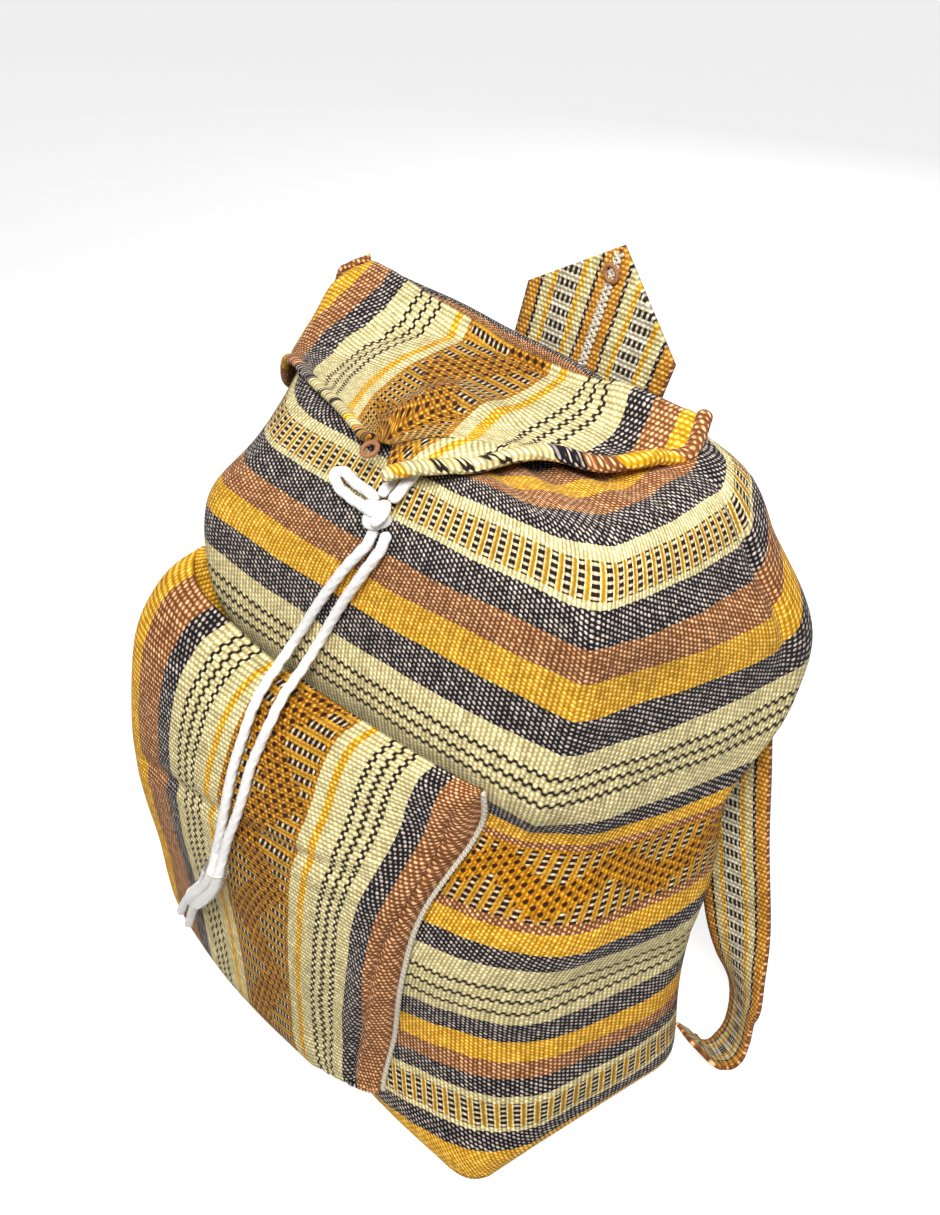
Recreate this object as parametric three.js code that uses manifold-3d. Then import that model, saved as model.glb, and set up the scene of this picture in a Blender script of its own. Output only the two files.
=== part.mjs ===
// A hand-woven cotton drawstring backpack, standing on its base, in millimetres.
// +Z is up, the front of the bag faces -Y, and the origin is the middle of its flat underside.
// The bag is cloth: a striped tube gathered into a hemmed mouth, a base panel, a pointed flap,
// a bellows pocket, two band straps that meet in a pointed tab, and a braided drawstring.
import * as THREE from 'three';
import { mergeVertices } from 'three/addons/utils/BufferGeometryUtils.js';
import Module from 'manifold-3d';

// Cloth
const clothThickness = 2.4;
const seamGap = 0.35;

// Base panel
const baseThickness = 2.4;
const baseFrontWidth = 234;
const baseBackWidth = 276;
const baseDepth = 146;

// Body: it bellies out low down, pinches in at a waist, and leans back above it
const shoulderHeight = 358;
const bellyFrontWidth = 280;
const bellyBackWidth = 300;
const bellyDepth = 166;
const waistFront = 38;
const waistBack = 86;
const chestFrontWidth = 240;
const chestBackWidth = 294;
const chestFront = 34;
const chestBack = 117;
const sagDepth = 15;
const frontSkew = 28;
const shoulderSlump = 14;
const frontBow = 7;
const sideBow = 7;

// Gathered crown, its mouth, and the hem that is the casing of the drawstring
const crownRise = 36;
const backRise = 17;
const mouthWidth = 92;
const mouthDepth = 44;
const mouthCentre = 38;
const mouthSink = 8;
const casingWidth = 13.2;
const casingFlare = 8;
const casingRise = 9;
const hemDepth = 16;
const pleatCount = 14;
const pleatDepth = 1.8;

// Flap
const flapWidth = 232;
const flapShift = -18;
const flapReach = 95;
const flapPoint = 12;
const flapLift = 3;
const hemRoll = 3;
const flapFold = 7;

// Front pocket
const pocketHeight = 258;
const pocketRightTop = 81;
const pocketRightFoot = 70;
const pocketFront = 112;
const pocketLeftLift = 58;
const pocketRightLift = 32;
const pocketPuff = 13;
const pocketBulge = 8;

// Straps, and the pointed tab that their upper ends make
const strapWidth = 46;
const strapThickness = 2.4;
const tabShoulder = 22;
const tabLeftRise = 11;
const tabEyeletDrop = 13;
const tabPoint = 66;
const tabLean = 0.3;
const strapGather = 0.5;
const strapEndHeight = 46;
const strapEndSide = 0.93;
const eyeletRadius = 3.6;
const eyeletThread = 1.1;

// Drawstring
const cordDiameter = 5;
const knotDiameter = 13;
const sleeveDiameter = 13.6;
const sleeveWall = 0.8;
const flapOverCord = 6;
const slotWidth = 21;
const slotCentre = 10;
const slotHeight = 8.4;
const slotDepth = 10;

// Facets
const sidesAround = 50;
const strapRows = 40;
const flapRows = 18;
const flapColumns = 30;
const cordSides = 8;

const lerp = THREE.MathUtils.lerp;
const smooth = THREE.MathUtils.smoothstep;
const vector = (x, y, z) => new THREE.Vector3(x, y, z);

const clothColours = { body: 0xc99a4e, base: 0xd29a35, flap: 0xb98a45, pocket: 0xcdb077, strap: 0xc88a35,
  thread: 0xa8662c, cord: 0xf4f2ec, sleeve: 0xe9e6df };
const bag = new THREE.Group();
bag.name = 'drawstring_backpack';

function addPiece(name, geometry, color, roughness = 0.9) {
  const mesh = new THREE.Mesh(geometry, new THREE.MeshStandardMaterial({ color, roughness, metalness: 0 }));
  mesh.name = name;
  bag.add(mesh);
}

// A smooth curve through named values at even steps
function rail(points) {
  return new THREE.CatmullRomCurve3(points, false, 'catmullrom', 0.5);
}

// Body stations, from the base seam up to the mouth and down inside it to the end of the hem.
// Each gives its four corners, front right first and then round the back, and how soft they are:
// the part of a side over which the outline is averaged.
const footHeight = baseThickness + 2 * seamGap;
const atHeight = (share) => lerp(footHeight, shoulderHeight, share);
const crownHeight = shoulderHeight + crownRise;
const hemTop = crownHeight - mouthSink;
const casingHalf = casingWidth / 2;
const belly = bellyDepth / 2;

function station({ z, front, skew = 0, tuck = 0, back, frontWidth, backWidth, soft, backSoft = soft,
  bow = 1 }) {
  const corners = [vector(frontWidth / 2 - tuck, -front + skew / 2, z), vector(backWidth / 2, back, z),
    vector(-backWidth / 2, back, z), vector(-frontWidth / 2, -front - skew / 2, z)];
  return { corners, soft, backSoft, bow };
}

function mouthStation(grow, z) {
  const half = mouthDepth / 2 + grow;
  const wide = mouthWidth + 2 * grow;
  return station({ z, front: half - mouthCentre, back: mouthCentre + half, frontWidth: wide, backWidth: wide,
    soft: 0.9, bow: 0 });
}

// The left front of the crown has slumped: its corner stands lower and further in,
// and the right rear corner is pulled in by its tuck
function slump(entry, inward, backward, drop, tuckedIn = 0) {
  entry.corners[3].add(vector(inward, backward, -drop));
  entry.corners[1].x += tuckedIn;
  return entry;
}

const stations = [
  station({ z: footHeight, front: baseDepth / 2, skew: -6, back: baseDepth / 2, frontWidth: baseFrontWidth,
    backWidth: baseBackWidth, soft: 0.1, bow: 0 }),
  station({ z: atHeight(0.08), front: belly + 7, skew: -13, tuck: 12, back: belly - 8,
    frontWidth: bellyFrontWidth - 16, backWidth: bellyBackWidth + 4, soft: 0.5, backSoft: 0.12, bow: 0 }),
  station({ z: atHeight(0.2), front: belly + 4, tuck: 32, back: belly - 6, frontWidth: bellyFrontWidth - 6,
    backWidth: bellyBackWidth + 8, soft: 0.56, backSoft: 0.16, bow: 0 }),
  station({ z: atHeight(0.34), front: belly, skew: 4, tuck: 38, back: belly - 4, frontWidth: bellyFrontWidth,
    backWidth: bellyBackWidth + 8, soft: 0.5, backSoft: 0.18, bow: 0.1 }),
  station({ z: atHeight(0.48), front: belly - 14, skew: 12, tuck: 24, back: belly, frontWidth: bellyFrontWidth - 6,
    backWidth: bellyBackWidth + 8, soft: 0.48, backSoft: 0.18, bow: 0.3 }),
  station({ z: atHeight(0.62), front: waistFront + 3, skew: 24, tuck: 17, back: waistBack + 4,
    frontWidth: chestFrontWidth + 12, backWidth: chestBackWidth + 4, soft: 0.26, bow: 0.6 }),
  station({ z: atHeight(0.74), front: chestFront + sagDepth - 8, skew: frontSkew, tuck: 9, back: chestBack - 3,
    frontWidth: chestFrontWidth + 8, backWidth: chestBackWidth, soft: 0.1, backSoft: 0.16 }),
  station({ z: atHeight(0.87), front: chestFront - 1, skew: frontSkew + 2, tuck: 2, back: chestBack - 6,
    frontWidth: chestFrontWidth, backWidth: chestBackWidth, soft: 0.05, backSoft: 0.16 }),
  slump(station({ z: shoulderHeight, front: chestFront - 6, skew: frontSkew - 12, back: chestBack - 27,
    frontWidth: chestFrontWidth + 10, backWidth: chestBackWidth - 20, soft: 0.06, backSoft: 0.16 }),
    30, 4, shoulderSlump, -5),
  slump(station({ z: crownHeight - 9, front: 6, skew: 4, back: 72, frontWidth: 212, backWidth: 258,
    soft: 0.18, backSoft: 0.12, bow: 0.6 }), 26, 0, shoulderSlump, -20),
  mouthStation(casingHalf + casingFlare, hemTop - casingRise),
  mouthStation(casingHalf, hemTop - 3.2),
  mouthStation(0, hemTop),
  mouthStation(-casingHalf, hemTop - 3.2),
  mouthStation(-casingHalf, hemTop - hemDepth),
];
stations[9].corners[1].z += backRise / 2;
stations[9].corners[2].z += backRise;
const rowsPerSpan = [2, 2, 2, 3, 3, 3, 3, 2, 4, 3, 2, 2, 2, 1];
const cornerRails = [0, 1, 2, 3].map((corner) => rail(stations.map((entry) => entry.corners[corner])));
const outlineRail = rail(stations.map((entry) => vector(entry.soft, entry.bow, entry.backSoft)));
const lastStation = stations.length - 1;
const sideBows = [sideBow, sideBow, sideBow, frontBow];

function cornerPoints(t) {
  return cornerRails.map((curve) => curve.getPoint(t));
}

// A point on the straight-sided outline, bowed out between its corners
function outlinePoint(corners, side, bow) {
  const turn = ((side % 4) + 4) % 4;
  const index = Math.floor(turn);
  const share = turn - index;
  const start = corners[index];
  const end = corners[(index + 1) % 4];
  const outward = vector(end.y - start.y, start.x - end.x, 0).normalize();
  const bulge = sideBows[index] * bow * 4 * share * (1 - share);
  return start.clone().lerp(end, share).addScaledVector(outward, bulge);
}

// A point on the middle of the body cloth: the outline averaged over its softness, then pleated
function bodyPoint(side, t) {
  const corners = cornerPoints(t);
  const { x: frontSoft, y: bow, z: backSoft } = outlineRail.getPoint(t);
  const frontness = smooth(Math.abs(((side + 4.5) % 4) - 2), 0, 2);
  const soft = Math.max(lerp(backSoft, frontSoft, frontness), 0);
  const point = vector(0, 0, 0);
  const steps = 4;
  for (let step = -steps; step <= steps; step += 1) {
    point.add(outlinePoint(corners, side + (soft * step) / steps, bow));
  }
  point.divideScalar(2 * steps + 1);
  const place = t * lastStation;
  const gather = smooth(place, 8.6, 10) * (1 - smooth(place, 10, 11));
  point.z += pleatDepth * gather * Math.cos((2 * Math.PI * pleatCount * side) / 4);
  return point;
}

function bodyNormal(side, t) {
  const step = 0.004;
  const around = bodyPoint(side + step * 4, t).sub(bodyPoint(side - step * 4, t));
  const up = bodyPoint(side, Math.min(t + step, 1)).sub(bodyPoint(side, Math.max(t - step, 0)));
  return around.cross(up).normalize();
}

const onBody = (side, t, lift) => bodyPoint(side, t).addScaledVector(bodyNormal(side, t), lift);

// The share of the way along the stations at which the wall reaches a height
function wallShare(z) {
  let low = 0;
  let high = 8 / lastStation;
  for (let step = 0; step < 24; step += 1) {
    const middle = (low + high) / 2;
    if (cornerRails[0].getPoint(middle).z < z) low = middle; else high = middle;
  }
  return (low + high) / 2;
}

// The cloth's two faces from a grid of points on its middle, closed at its edges.
// Rows run along v; a ring closes on itself in u. Faces point out for u cross v outwards.
function clothGeometry(rows, thickness, ring = false) {
  const rowCount = rows.length;
  const columnCount = rows[0].length;
  const at = (row, column) => rows[Math.min(Math.max(row, 0), rowCount - 1)][
    ring ? (column + columnCount) % columnCount : Math.min(Math.max(column, 0), columnCount - 1)];
  const positions = [];
  for (const sign of [1, -1]) {
    for (let row = 0; row < rowCount; row += 1) {
      for (let column = 0; column < columnCount; column += 1) {
        const across = at(row, column + 1).clone().sub(at(row, column - 1));
        const along = at(row + 1, column).clone().sub(at(row - 1, column));
        const normal = across.cross(along).normalize();
        positions.push(...at(row, column).clone().addScaledVector(normal, (sign * thickness) / 2).toArray());
      }
    }
  }
  const under = rowCount * columnCount;
  const corner = (row, column) => row * columnCount + (column % columnCount);
  const index = [];
  const quad = (a, b, c, d) => index.push(a, b, c, a, c, d);
  const spans = ring ? columnCount : columnCount - 1;
  for (let row = 0; row < rowCount - 1; row += 1) {
    for (let column = 0; column < spans; column += 1) {
      const [a, b] = [corner(row, column), corner(row, column + 1)];
      const [c, d] = [corner(row + 1, column + 1), corner(row + 1, column)];
      quad(a, b, c, d);
      quad(under + d, under + c, under + b, under + a);
    }
  }
  for (let column = 0; column < spans; column += 1) {
    const [a, b] = [corner(0, column), corner(0, column + 1)];
    quad(under + a, under + b, b, a);
    const [c, d] = [corner(rowCount - 1, column), corner(rowCount - 1, column + 1)];
    quad(c, d, under + d, under + c);
  }
  if (!ring) {
    for (let row = 0; row < rowCount - 1; row += 1) {
      const [a, b] = [corner(row, 0), corner(row + 1, 0)];
      quad(a, b, under + b, under + a);
      const [c, d] = [corner(row, columnCount - 1), corner(row + 1, columnCount - 1)];
      quad(under + c, under + d, d, c);
    }
  }
  const geometry = new THREE.BufferGeometry();
  geometry.setAttribute('position', new THREE.Float32BufferAttribute(positions, 3));
  geometry.setIndex(index);
  return geometry;
}

// Rows of the body, thicker-set where it turns over into the hem
const bodyShares = [0];
rowsPerSpan.forEach((count, span) => {
  for (let row = 1; row <= count; row += 1) bodyShares.push((span + row / count) / lastStation);
});
const around = Array.from({ length: sidesAround }, (_, column) => (4 * column) / sidesAround);
const bodyRows = bodyShares.map((t) => around.map((side) => bodyPoint(side, t)));

// Manifold solids, for the slot that lets the drawstring out of its casing
const wasm = await Module();
wasm.setup();

function toManifold(geometry) {
  const bare = geometry.clone();
  bare.deleteAttribute('normal');
  bare.deleteAttribute('uv');
  const merged = mergeVertices(bare, 1e-4);
  return new wasm.Manifold(new wasm.Mesh({ numProp: 3,
    vertProperties: new Float32Array(merged.attributes.position.array),
    triVerts: new Uint32Array(merged.index.array) }));
}

function fromManifold(solid) {
  const mesh = solid.getMesh();
  const geometry = new THREE.BufferGeometry();
  geometry.setAttribute('position', new THREE.Float32BufferAttribute(mesh.vertProperties, 3));
  geometry.setIndex(Array.from(mesh.triVerts));
  return geometry;
}

const casingFront = mouthCentre - mouthDepth / 2;
const casingHeight = hemTop - clothThickness / 2 - cordDiameter / 2 - 0.6;

function slotCutter() {
  const outline = new THREE.Shape();
  const [half, round] = [slotWidth / 2 - slotHeight / 2, slotHeight / 2];
  outline.absarc(half, 0, round, -Math.PI / 2, Math.PI / 2);
  outline.absarc(-half, 0, round, Math.PI / 2, (3 * Math.PI) / 2);
  const cutter = new THREE.ExtrudeGeometry(outline, { depth: slotDepth, bevelEnabled: false, curveSegments: 5 });
  cutter.rotateX(Math.PI / 2);
  cutter.translate(slotCentre, casingFront + casingHalf, casingHeight);
  return cutter;
}

function makeBody() {
  const shell = toManifold(clothGeometry(bodyRows, clothThickness, true));
  addPiece('body', fromManifold(shell.subtract(toManifold(slotCutter()))), clothColours.body);
}

// The base panel has the outline of the body's lower edge
function makeBase() {
  const outline = new THREE.Shape(bodyRows[0].map((point) => new THREE.Vector2(point.x, point.y)));
  const panel = new THREE.ExtrudeGeometry(outline, { depth: baseThickness, bevelEnabled: false });
  addPiece('base_panel', panel, clothColours.base);
}

// The height at which a cloth laid on the body rests, over a point of the plan
const restLift = clothThickness + seamGap + 0.25;
const restRows = bodyShares.filter((t) => t * lastStation > 6)
  .map((t) => around.map((side) => onBody(side, t, restLift)));

function heightOver(x, y) {
  let height = 0;
  for (let row = 0; row < restRows.length - 1; row += 1) {
    for (let column = 0; column < sidesAround; column += 1) {
      const next = (column + 1) % sidesAround;
      const [a, b] = [restRows[row][column], restRows[row][next]];
      const [c, d] = [restRows[row + 1][next], restRows[row + 1][column]];
      for (const [p, q, r] of [[a, b, c], [a, c, d]]) {
        const area = (q.x - p.x) * (r.y - p.y) - (r.x - p.x) * (q.y - p.y);
        const second = ((x - p.x) * (r.y - p.y) - (r.x - p.x) * (y - p.y)) / area;
        const third = ((q.x - p.x) * (y - p.y) - (x - p.x) * (q.y - p.y)) / area;
        if (second >= 0 && third >= 0 && second + third <= 1) {
          height = Math.max(height, p.z + second * (q.z - p.z) + third * (r.z - p.z));
        }
      }
    }
  }
  return height;
}

// The flap lies on the crown, bridges the mouth, and lifts at its rolled right edge.
// Its left and right edges in plan run from the back seam to the point.
const flapBack = stations[9].corners[2].y + 3;
const flapTip = flapBack - flapReach;
const flapHalf = flapWidth / 2;
const flapClearX = (0.5 * flapWidth) / flapColumns;
const flapClearY = (0.5 * flapReach) / flapRows;
const leftEdge = rail([vector(flapShift - flapHalf + 9, flapBack - 5, 0),
  vector(flapShift - flapHalf - 2, flapBack - 28, 0), vector(flapShift - flapHalf + 13, flapBack - 64, 0),
  vector(flapShift / 2 - 46, flapTip + 13, 0), vector(-flapPoint / 2, flapTip, 0)]);
const rightEdge = rail([vector(flapShift + flapHalf - 14, flapBack - 6, 0),
  vector(flapShift + flapHalf - 8, flapBack - 20, 0), vector(flapShift + flapHalf - 10, flapBack - 42, 0),
  vector(flapShift / 2 + 60, flapTip + 34, 0), vector(flapPoint / 2, flapTip + 2, 0)]);

// The highest rest within half a step of the flap's grid, so that the cloth clears what it spans
function restOver(x, y) {
  let height = 0;
  for (const [dx, dy] of [[0, 0], [1, 1], [-1, 1], [-1, -1], [1, -1]]) {
    height = Math.max(height, heightOver(x + dx * flapClearX, y + dy * flapClearY));
  }
  return height;
}

function flapPlace(u, v) {
  const place = leftEdge.getPoint(v).lerp(rightEdge.getPoint(v), u);
  const offMouth = Math.hypot(place.x / (mouthWidth * 0.7), (place.y - mouthCentre) / (mouthDepth * 0.9));
  const bridge = hemTop + restLift + flapLift * (1 - offMouth ** 4);
  const lip = hemRoll * smooth(u, 0.84, 1) * smooth(v, 0.3, 0.55) * (1 - smooth(v, 0.8, 1));
  const cordLift = flapOverCord * (1 - smooth(Math.abs(place.x - slotCentre), slotWidth / 2 + 2, slotWidth + 8))
    * (1 - smooth(place.y, casingFront, mouthCentre));
  const fold = flapFold * smooth(u, 0.62, 0.9) * (1 - smooth(v, 0.08, 0.3));
  place.z = Math.max(restOver(place.x, place.y), bridge) + Math.max(lip, cordLift) + fold;
  return place;
}

function makeFlap() {
  const rows = [];
  for (let row = 0; row <= flapRows; row += 1) {
    const line = [];
    for (let column = 0; column <= flapColumns; column += 1) {
      line.push(flapPlace(column / flapColumns, row / flapRows));
    }
    rows.push(line.reverse());
  }
  addPiece('flap', clothGeometry(rows, clothThickness), clothColours.flap);
}

// The pocket, as a profile across it (share of its width, share of its fullness) and one up it
const acrossProfile = rail([vector(0, 0, 0), vector(-0.005, 0.4, 0), vector(0, 0.8, 0), vector(0.05, 1, 0),
  vector(0.25, 0.98, 0), vector(0.5, 0.84, 0), vector(0.75, 0.6, 0), vector(0.93, 0.4, 0), vector(1, 0.2, 0),
  vector(1, 0, 0)]);
const upProfile = rail([vector(0.05, 0, 0), vector(0.03, 0.5, 0), vector(0.05, 0.92, 0), vector(0.22, 1, 0),
  vector(0.42, 1, 0), vector(0.62, 1, 0), vector(0.78, 0.92, 0), vector(0.92, 0.74, 0), vector(1.01, 0.48, 0),
  vector(1.02, 0.24, 0)]);
const pocketLeftSide = 2.9;
const pocketSeat = clothThickness / 2 + seamGap + 1.1;

function pocketPlace(u, v) {
  const { x: share, y: fullAcross } = acrossProfile.getPoint(u);
  const { x: rise, y: fullUp } = upProfile.getPoint(v);
  const sweep = pocketLeftLift * Math.max(0, 1 - share / 0.45) ** 2 + pocketRightLift * smooth(share, 0.5, 1);
  const lift = sweep * (1 - smooth(v, 0.1, 0.5));
  const puff = pocketPuff * Math.max(0, 1 - share / 0.4) * smooth(v, 0.7, 1);
  const z = rise * pocketHeight + lift + puff;
  const t = wallShare(z);
  const [left, right] = [cornerRails[3].getPoint(t).x, cornerRails[0].getPoint(t).x];
  const rightX = lerp(pocketRightFoot, pocketRightTop, rise);
  const rightSide = 3 + (rightX - left) / (right - left);
  const seat = onBody(lerp(pocketLeftSide, rightSide, Math.max(share, 0)), t, pocketSeat);
  seat.y = lerp(seat.y, -pocketFront, Math.max(0, fullAcross) * Math.max(0, fullUp));
  seat.x -= pocketBulge * Math.max(0, 1 - share / 0.3) * Math.max(0, fullAcross) * smooth(v, 0.4, 0.75);
  return seat;
}

function makePocket() {
  const rows = [];
  for (let row = 0; row <= 18; row += 1) {
    const line = [];
    for (let column = 0; column <= 22; column += 1) line.push(pocketPlace(column / 22, row / 18));
    rows.push(line);
  }
  addPiece('front_pocket', clothGeometry(rows, clothThickness), clothColours.pocket);
}

// Straps: a band carried along a centre line, with a facing direction at each of its places.
// The upper ends stand up behind the flap, cut to a mitre and sewn edge to edge.
const strapSeat = clothThickness / 2 + seamGap + strapThickness / 2 + 0.5;
const strapEndSeat = strapSeat + 2.2;
const tabFoot = vector(7, 91, crownHeight - 8);
const tabWay = vector(tabLean, 0, 1).normalize();

function strapStations(sign) {
  const seat = (side, z) => {
    const turned = sign > 0 ? side : 3 - side;
    const t = wallShare(z);
    return { place: onBody(turned, t, strapSeat), facing: bodyNormal(turned, t) };
  };
  const free = (x, y, z, ax, ay, az) => ({ place: vector(sign * x, y, z),
    across: vector(ax, sign * ay, sign * az).normalize() });
  const foot = tabFoot.clone().add(vector(sign * (strapWidth / 2 + seamGap / 2), 0, 0));
  return [
    { place: foot.clone().addScaledVector(tabWay, tabPoint), across: vector(1, 0, 0) },
    { place: foot, across: vector(1, 0, 0) },
    ...[0, 1, 2, 3, 4, 5].map((step) => seat(lerp(1.39, 1.23, step / 5),
      lerp(shoulderHeight - 14, atHeight(0.74), step / 5))),
    free(99, chestBack + 2, 232, 1, 0, 0.35),
    free(110, chestBack - 4, 204, 1, 0, 0.25),
    free(123, waistBack + 19, 162, 1, 0, 0.25),
    free(140, waistBack + 12, 112, 1, -0.05, 0.3),
    free(153, waistBack + 5, 82, 0.85, -0.3, 0.4),
    free(161, waistBack + 2, 63, 0.65, -0.5, 0.6),
    free(167, waistBack - 7, 50, 0.6, -0.52, 0.62),
    free(168, waistBack - 16, 43, 0.6, -0.52, 0.62),
    free(164, waistBack - 23, 41, 0.5, -0.55, 0.67),
    free(156.5, waistBack - 27, strapEndHeight, 0.2, -0.6, 0.77),
    { place: onBody(sign > 0 ? strapEndSide : 3 - strapEndSide, wallShare(strapEndHeight), strapEndSeat),
      across: vector(0.25, sign * -0.55, sign * 0.8).normalize() },
  ];
}

function makeStrap(name, sign) {
  const entries = strapStations(sign);
  const line = rail(entries.map((entry) => entry.place));
  const spans = entries.length - 1;
  const acrossRail = rail(entries.map((entry, index) => entry.across
    ?? line.getTangent(index / spans).cross(entry.facing).normalize()));
  const shoulder = sign > 0 ? tabShoulder : tabShoulder + tabLeftRise;
  const rows = [];
  for (let row = 0; row <= strapRows; row += 1) {
    const t = row < 2 ? row / spans : (1 + ((row - 1) / (strapRows - 1)) * (spans - 1)) / spans;
    const across = acrossRail.getPoint(t);
    if (row >= 2) across.projectOnPlane(line.getTangent(t));
    across.normalize();
    const centre = line.getPoint(t);
    const width = strapWidth * lerp(1, strapGather, smooth(t, 0.84, 1));
    rows.push([0, 1, 2, 3].map((column) => {
      const share = column / 3;
      const point = centre.clone().addScaledVector(across, (share - 0.5) * width);
      if (row === 0) {
        const inner = sign > 0 ? share : 1 - share;
        point.addScaledVector(tabWay, (shoulder - tabPoint) * inner);
      }
      return point;
    }));
  }
  addPiece(name, clothGeometry(rows, strapThickness), clothColours.strap);
}

// A round or hollow section carried along a smooth curve through points
function addTube(name, points, section, steps, color) {
  const path = new THREE.CatmullRomCurve3(points, false, 'centripetal');
  const tube = new THREE.ExtrudeGeometry(section, { steps, bevelEnabled: false, extrudePath: path,
    curveSegments: cordSides / 2 });
  addPiece(name, tube, color, 0.7);
}

function roundSection(radius, hole = 0) {
  const section = new THREE.Shape().absarc(0, 0, radius, 0, 2 * Math.PI);
  if (hole > 0) section.holes.push(new THREE.Path().absarc(0, 0, hole, 0, 2 * Math.PI));
  return section;
}

// The drawstring runs from the knot through the slot, round the mouth in its casing, and back
const knotCentre = vector(14.2, -34.7, 364.2);
const strandRight = [vector(17, -29.4, 369), vector(18, -21, 375.6), vector(17.8, -13.5, 380.9),
  vector(17.4, -5, 383.4), vector(16, 4, 383.6), vector(14.4, 12, 382.6)];
const strandLeft = [vector(4.6, 12, 382), vector(5, 4, 382.6), vector(6.2, -5, 383.6), vector(7.6, -13.5, 380.8),
  vector(9.2, -21, 375.2), vector(11, -29.7, 368.8)];

function casingRun() {
  const run = [];
  for (let turn = 0; turn <= 16; turn += 1) {
    const side = lerp(3.8, 7.52, turn / 16);
    const place = bodyPoint(side, 11 / lastStation).lerp(bodyPoint(side, 13 / lastStation), 0.5);
    place.z = casingHeight;
    run.push(place);
  }
  return run;
}

// The doubled loop of the bow, and the two tails that hang down over the pocket
const bowLoop = [vector(7.2, -33.5, 362), vector(2, -32.3, 360.6), vector(-10, -32, 360.4), vector(-18, -31.2, 361.2),
  vector(-22.6, -29.6, 364.4), vector(-18, -27.6, 367), vector(-10, -28.4, 366), vector(2, -28.7, 366),
  vector(8, -29.9, 365.6)];
const tailLeft = [vector(12.3, -34.8, 356.4), vector(11.9, -37.8, 350.8), vector(0, -43, 333),
  vector(-16, -48.3, 307), vector(-26, -52.3, 288), vector(-31, -56.3, 277), vector(-29, -66.3, 271),
  vector(-26.5, -76.3, 265.5), vector(-25.5, -83.8, 257.5), vector(-27, -90.9, 241.5),
  vector(-29.4, -97.3, 223.5), vector(-31, -103.7, 202), vector(-34, -108.3, 181), vector(-36.6, -110.9, 168),
  vector(-36.7, -114.3, 158.6), vector(-39, -117.5, 148), vector(-46.2, -119, 136.1), vector(-55.2, -120, 123.6),
  vector(-69, -120.5, 104), vector(-84, -120.5, 78)];
const tailRight = [vector(20.2, -34, 358.2), vector(20, -37, 352), vector(11.6, -41.6, 336), vector(-2.6, -45.3, 312),
  vector(-14.4, -51.3, 286.5), vector(-17.5, -60.3, 273), vector(-14, -73.3, 267), vector(-13, -83.3, 255.5),
  vector(-16.8, -88.3, 241.3), vector(-19.5, -93.5, 227.7), vector(-20.8, -98.1, 213.8), vector(-23.7, -103.3, 197),
  vector(-27.5, -107.8, 181.5), vector(-30.4, -111.1, 167), vector(-31, -114.5, 157.4), vector(-34, -117.5, 146),
  vector(-41.8, -119, 132.9), vector(-50.8, -120, 120.4), vector(-65, -119.5, 99), vector(-79, -119.5, 70)];
const sleevePath = [vector(-34, -114.3, 158), vector(-36.5, -117.5, 147), vector(-44, -119, 134.5),
  vector(-53, -120, 122)];

function makeDrawstring() {
  const cord = roundSection(cordDiameter / 2);
  addTube('drawstring', [...strandRight, ...casingRun(), ...strandLeft], cord, 50, clothColours.cord);
  addTube('drawstring_bow', bowLoop, cord, 12, clothColours.cord);
  addTube('drawstring_tail_left', tailLeft, cord, 24, clothColours.cord);
  addTube('drawstring_tail_right', tailRight, cord, 24, clothColours.cord);
  addTube('cord_end_sleeve', sleevePath, roundSection(sleeveDiameter / 2, sleeveDiameter / 2 - sleeveWall), 5,
    clothColours.sleeve);
  const knot = new THREE.SphereGeometry(knotDiameter / 2, 12, 8);
  knot.translate(...knotCentre.toArray());
  addPiece('drawstring_knot', knot, clothColours.cord);
}

// Thread-bound eyelets that lie on the cloth of the tab and of the flap's point
function makeEyelet(name, centre, normal) {
  const ring = new THREE.TorusGeometry(eyeletRadius, eyeletThread, 6, 14);
  ring.applyQuaternion(new THREE.Quaternion().setFromUnitVectors(vector(0, 0, 1), normal));
  ring.translate(...centre.toArray());
  addPiece(name, ring, clothColours.thread);
}

function makeEyelets() {
  const onTab = tabFoot.clone().addScaledVector(tabWay, tabPoint - tabEyeletDrop);
  onTab.y -= strapThickness / 2 + eyeletThread + seamGap;
  makeEyelet('tab_eyelet', onTab, vector(0, -1, 0));
  const atPoint = flapPlace(0.3, 1).add(vector(0, -eyeletRadius - eyeletThread - seamGap, -eyeletThread));
  makeEyelet('flap_eyelet', atPoint, vector(0, -0.5, 1).normalize());
}

makeBody();
makeBase();
makeFlap();
makePocket();
makeStrap('strap_left', -1);
makeStrap('strap_right', 1);
makeDrawstring();
makeEyelets();

export default bag;
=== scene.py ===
# %% [markdown]
# # A woven cotton drawstring backpack
# The bag is soft cloth all over: a striped tube that is gathered at its mouth, a base panel, a flap,
# a bellows pocket, two band straps and a white drawstring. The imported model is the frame: it says where
# every piece goes. Here each cloth solid is replaced by a finer surface that follows the same formulas,
# so nothing has to be fitted by hand.

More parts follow.
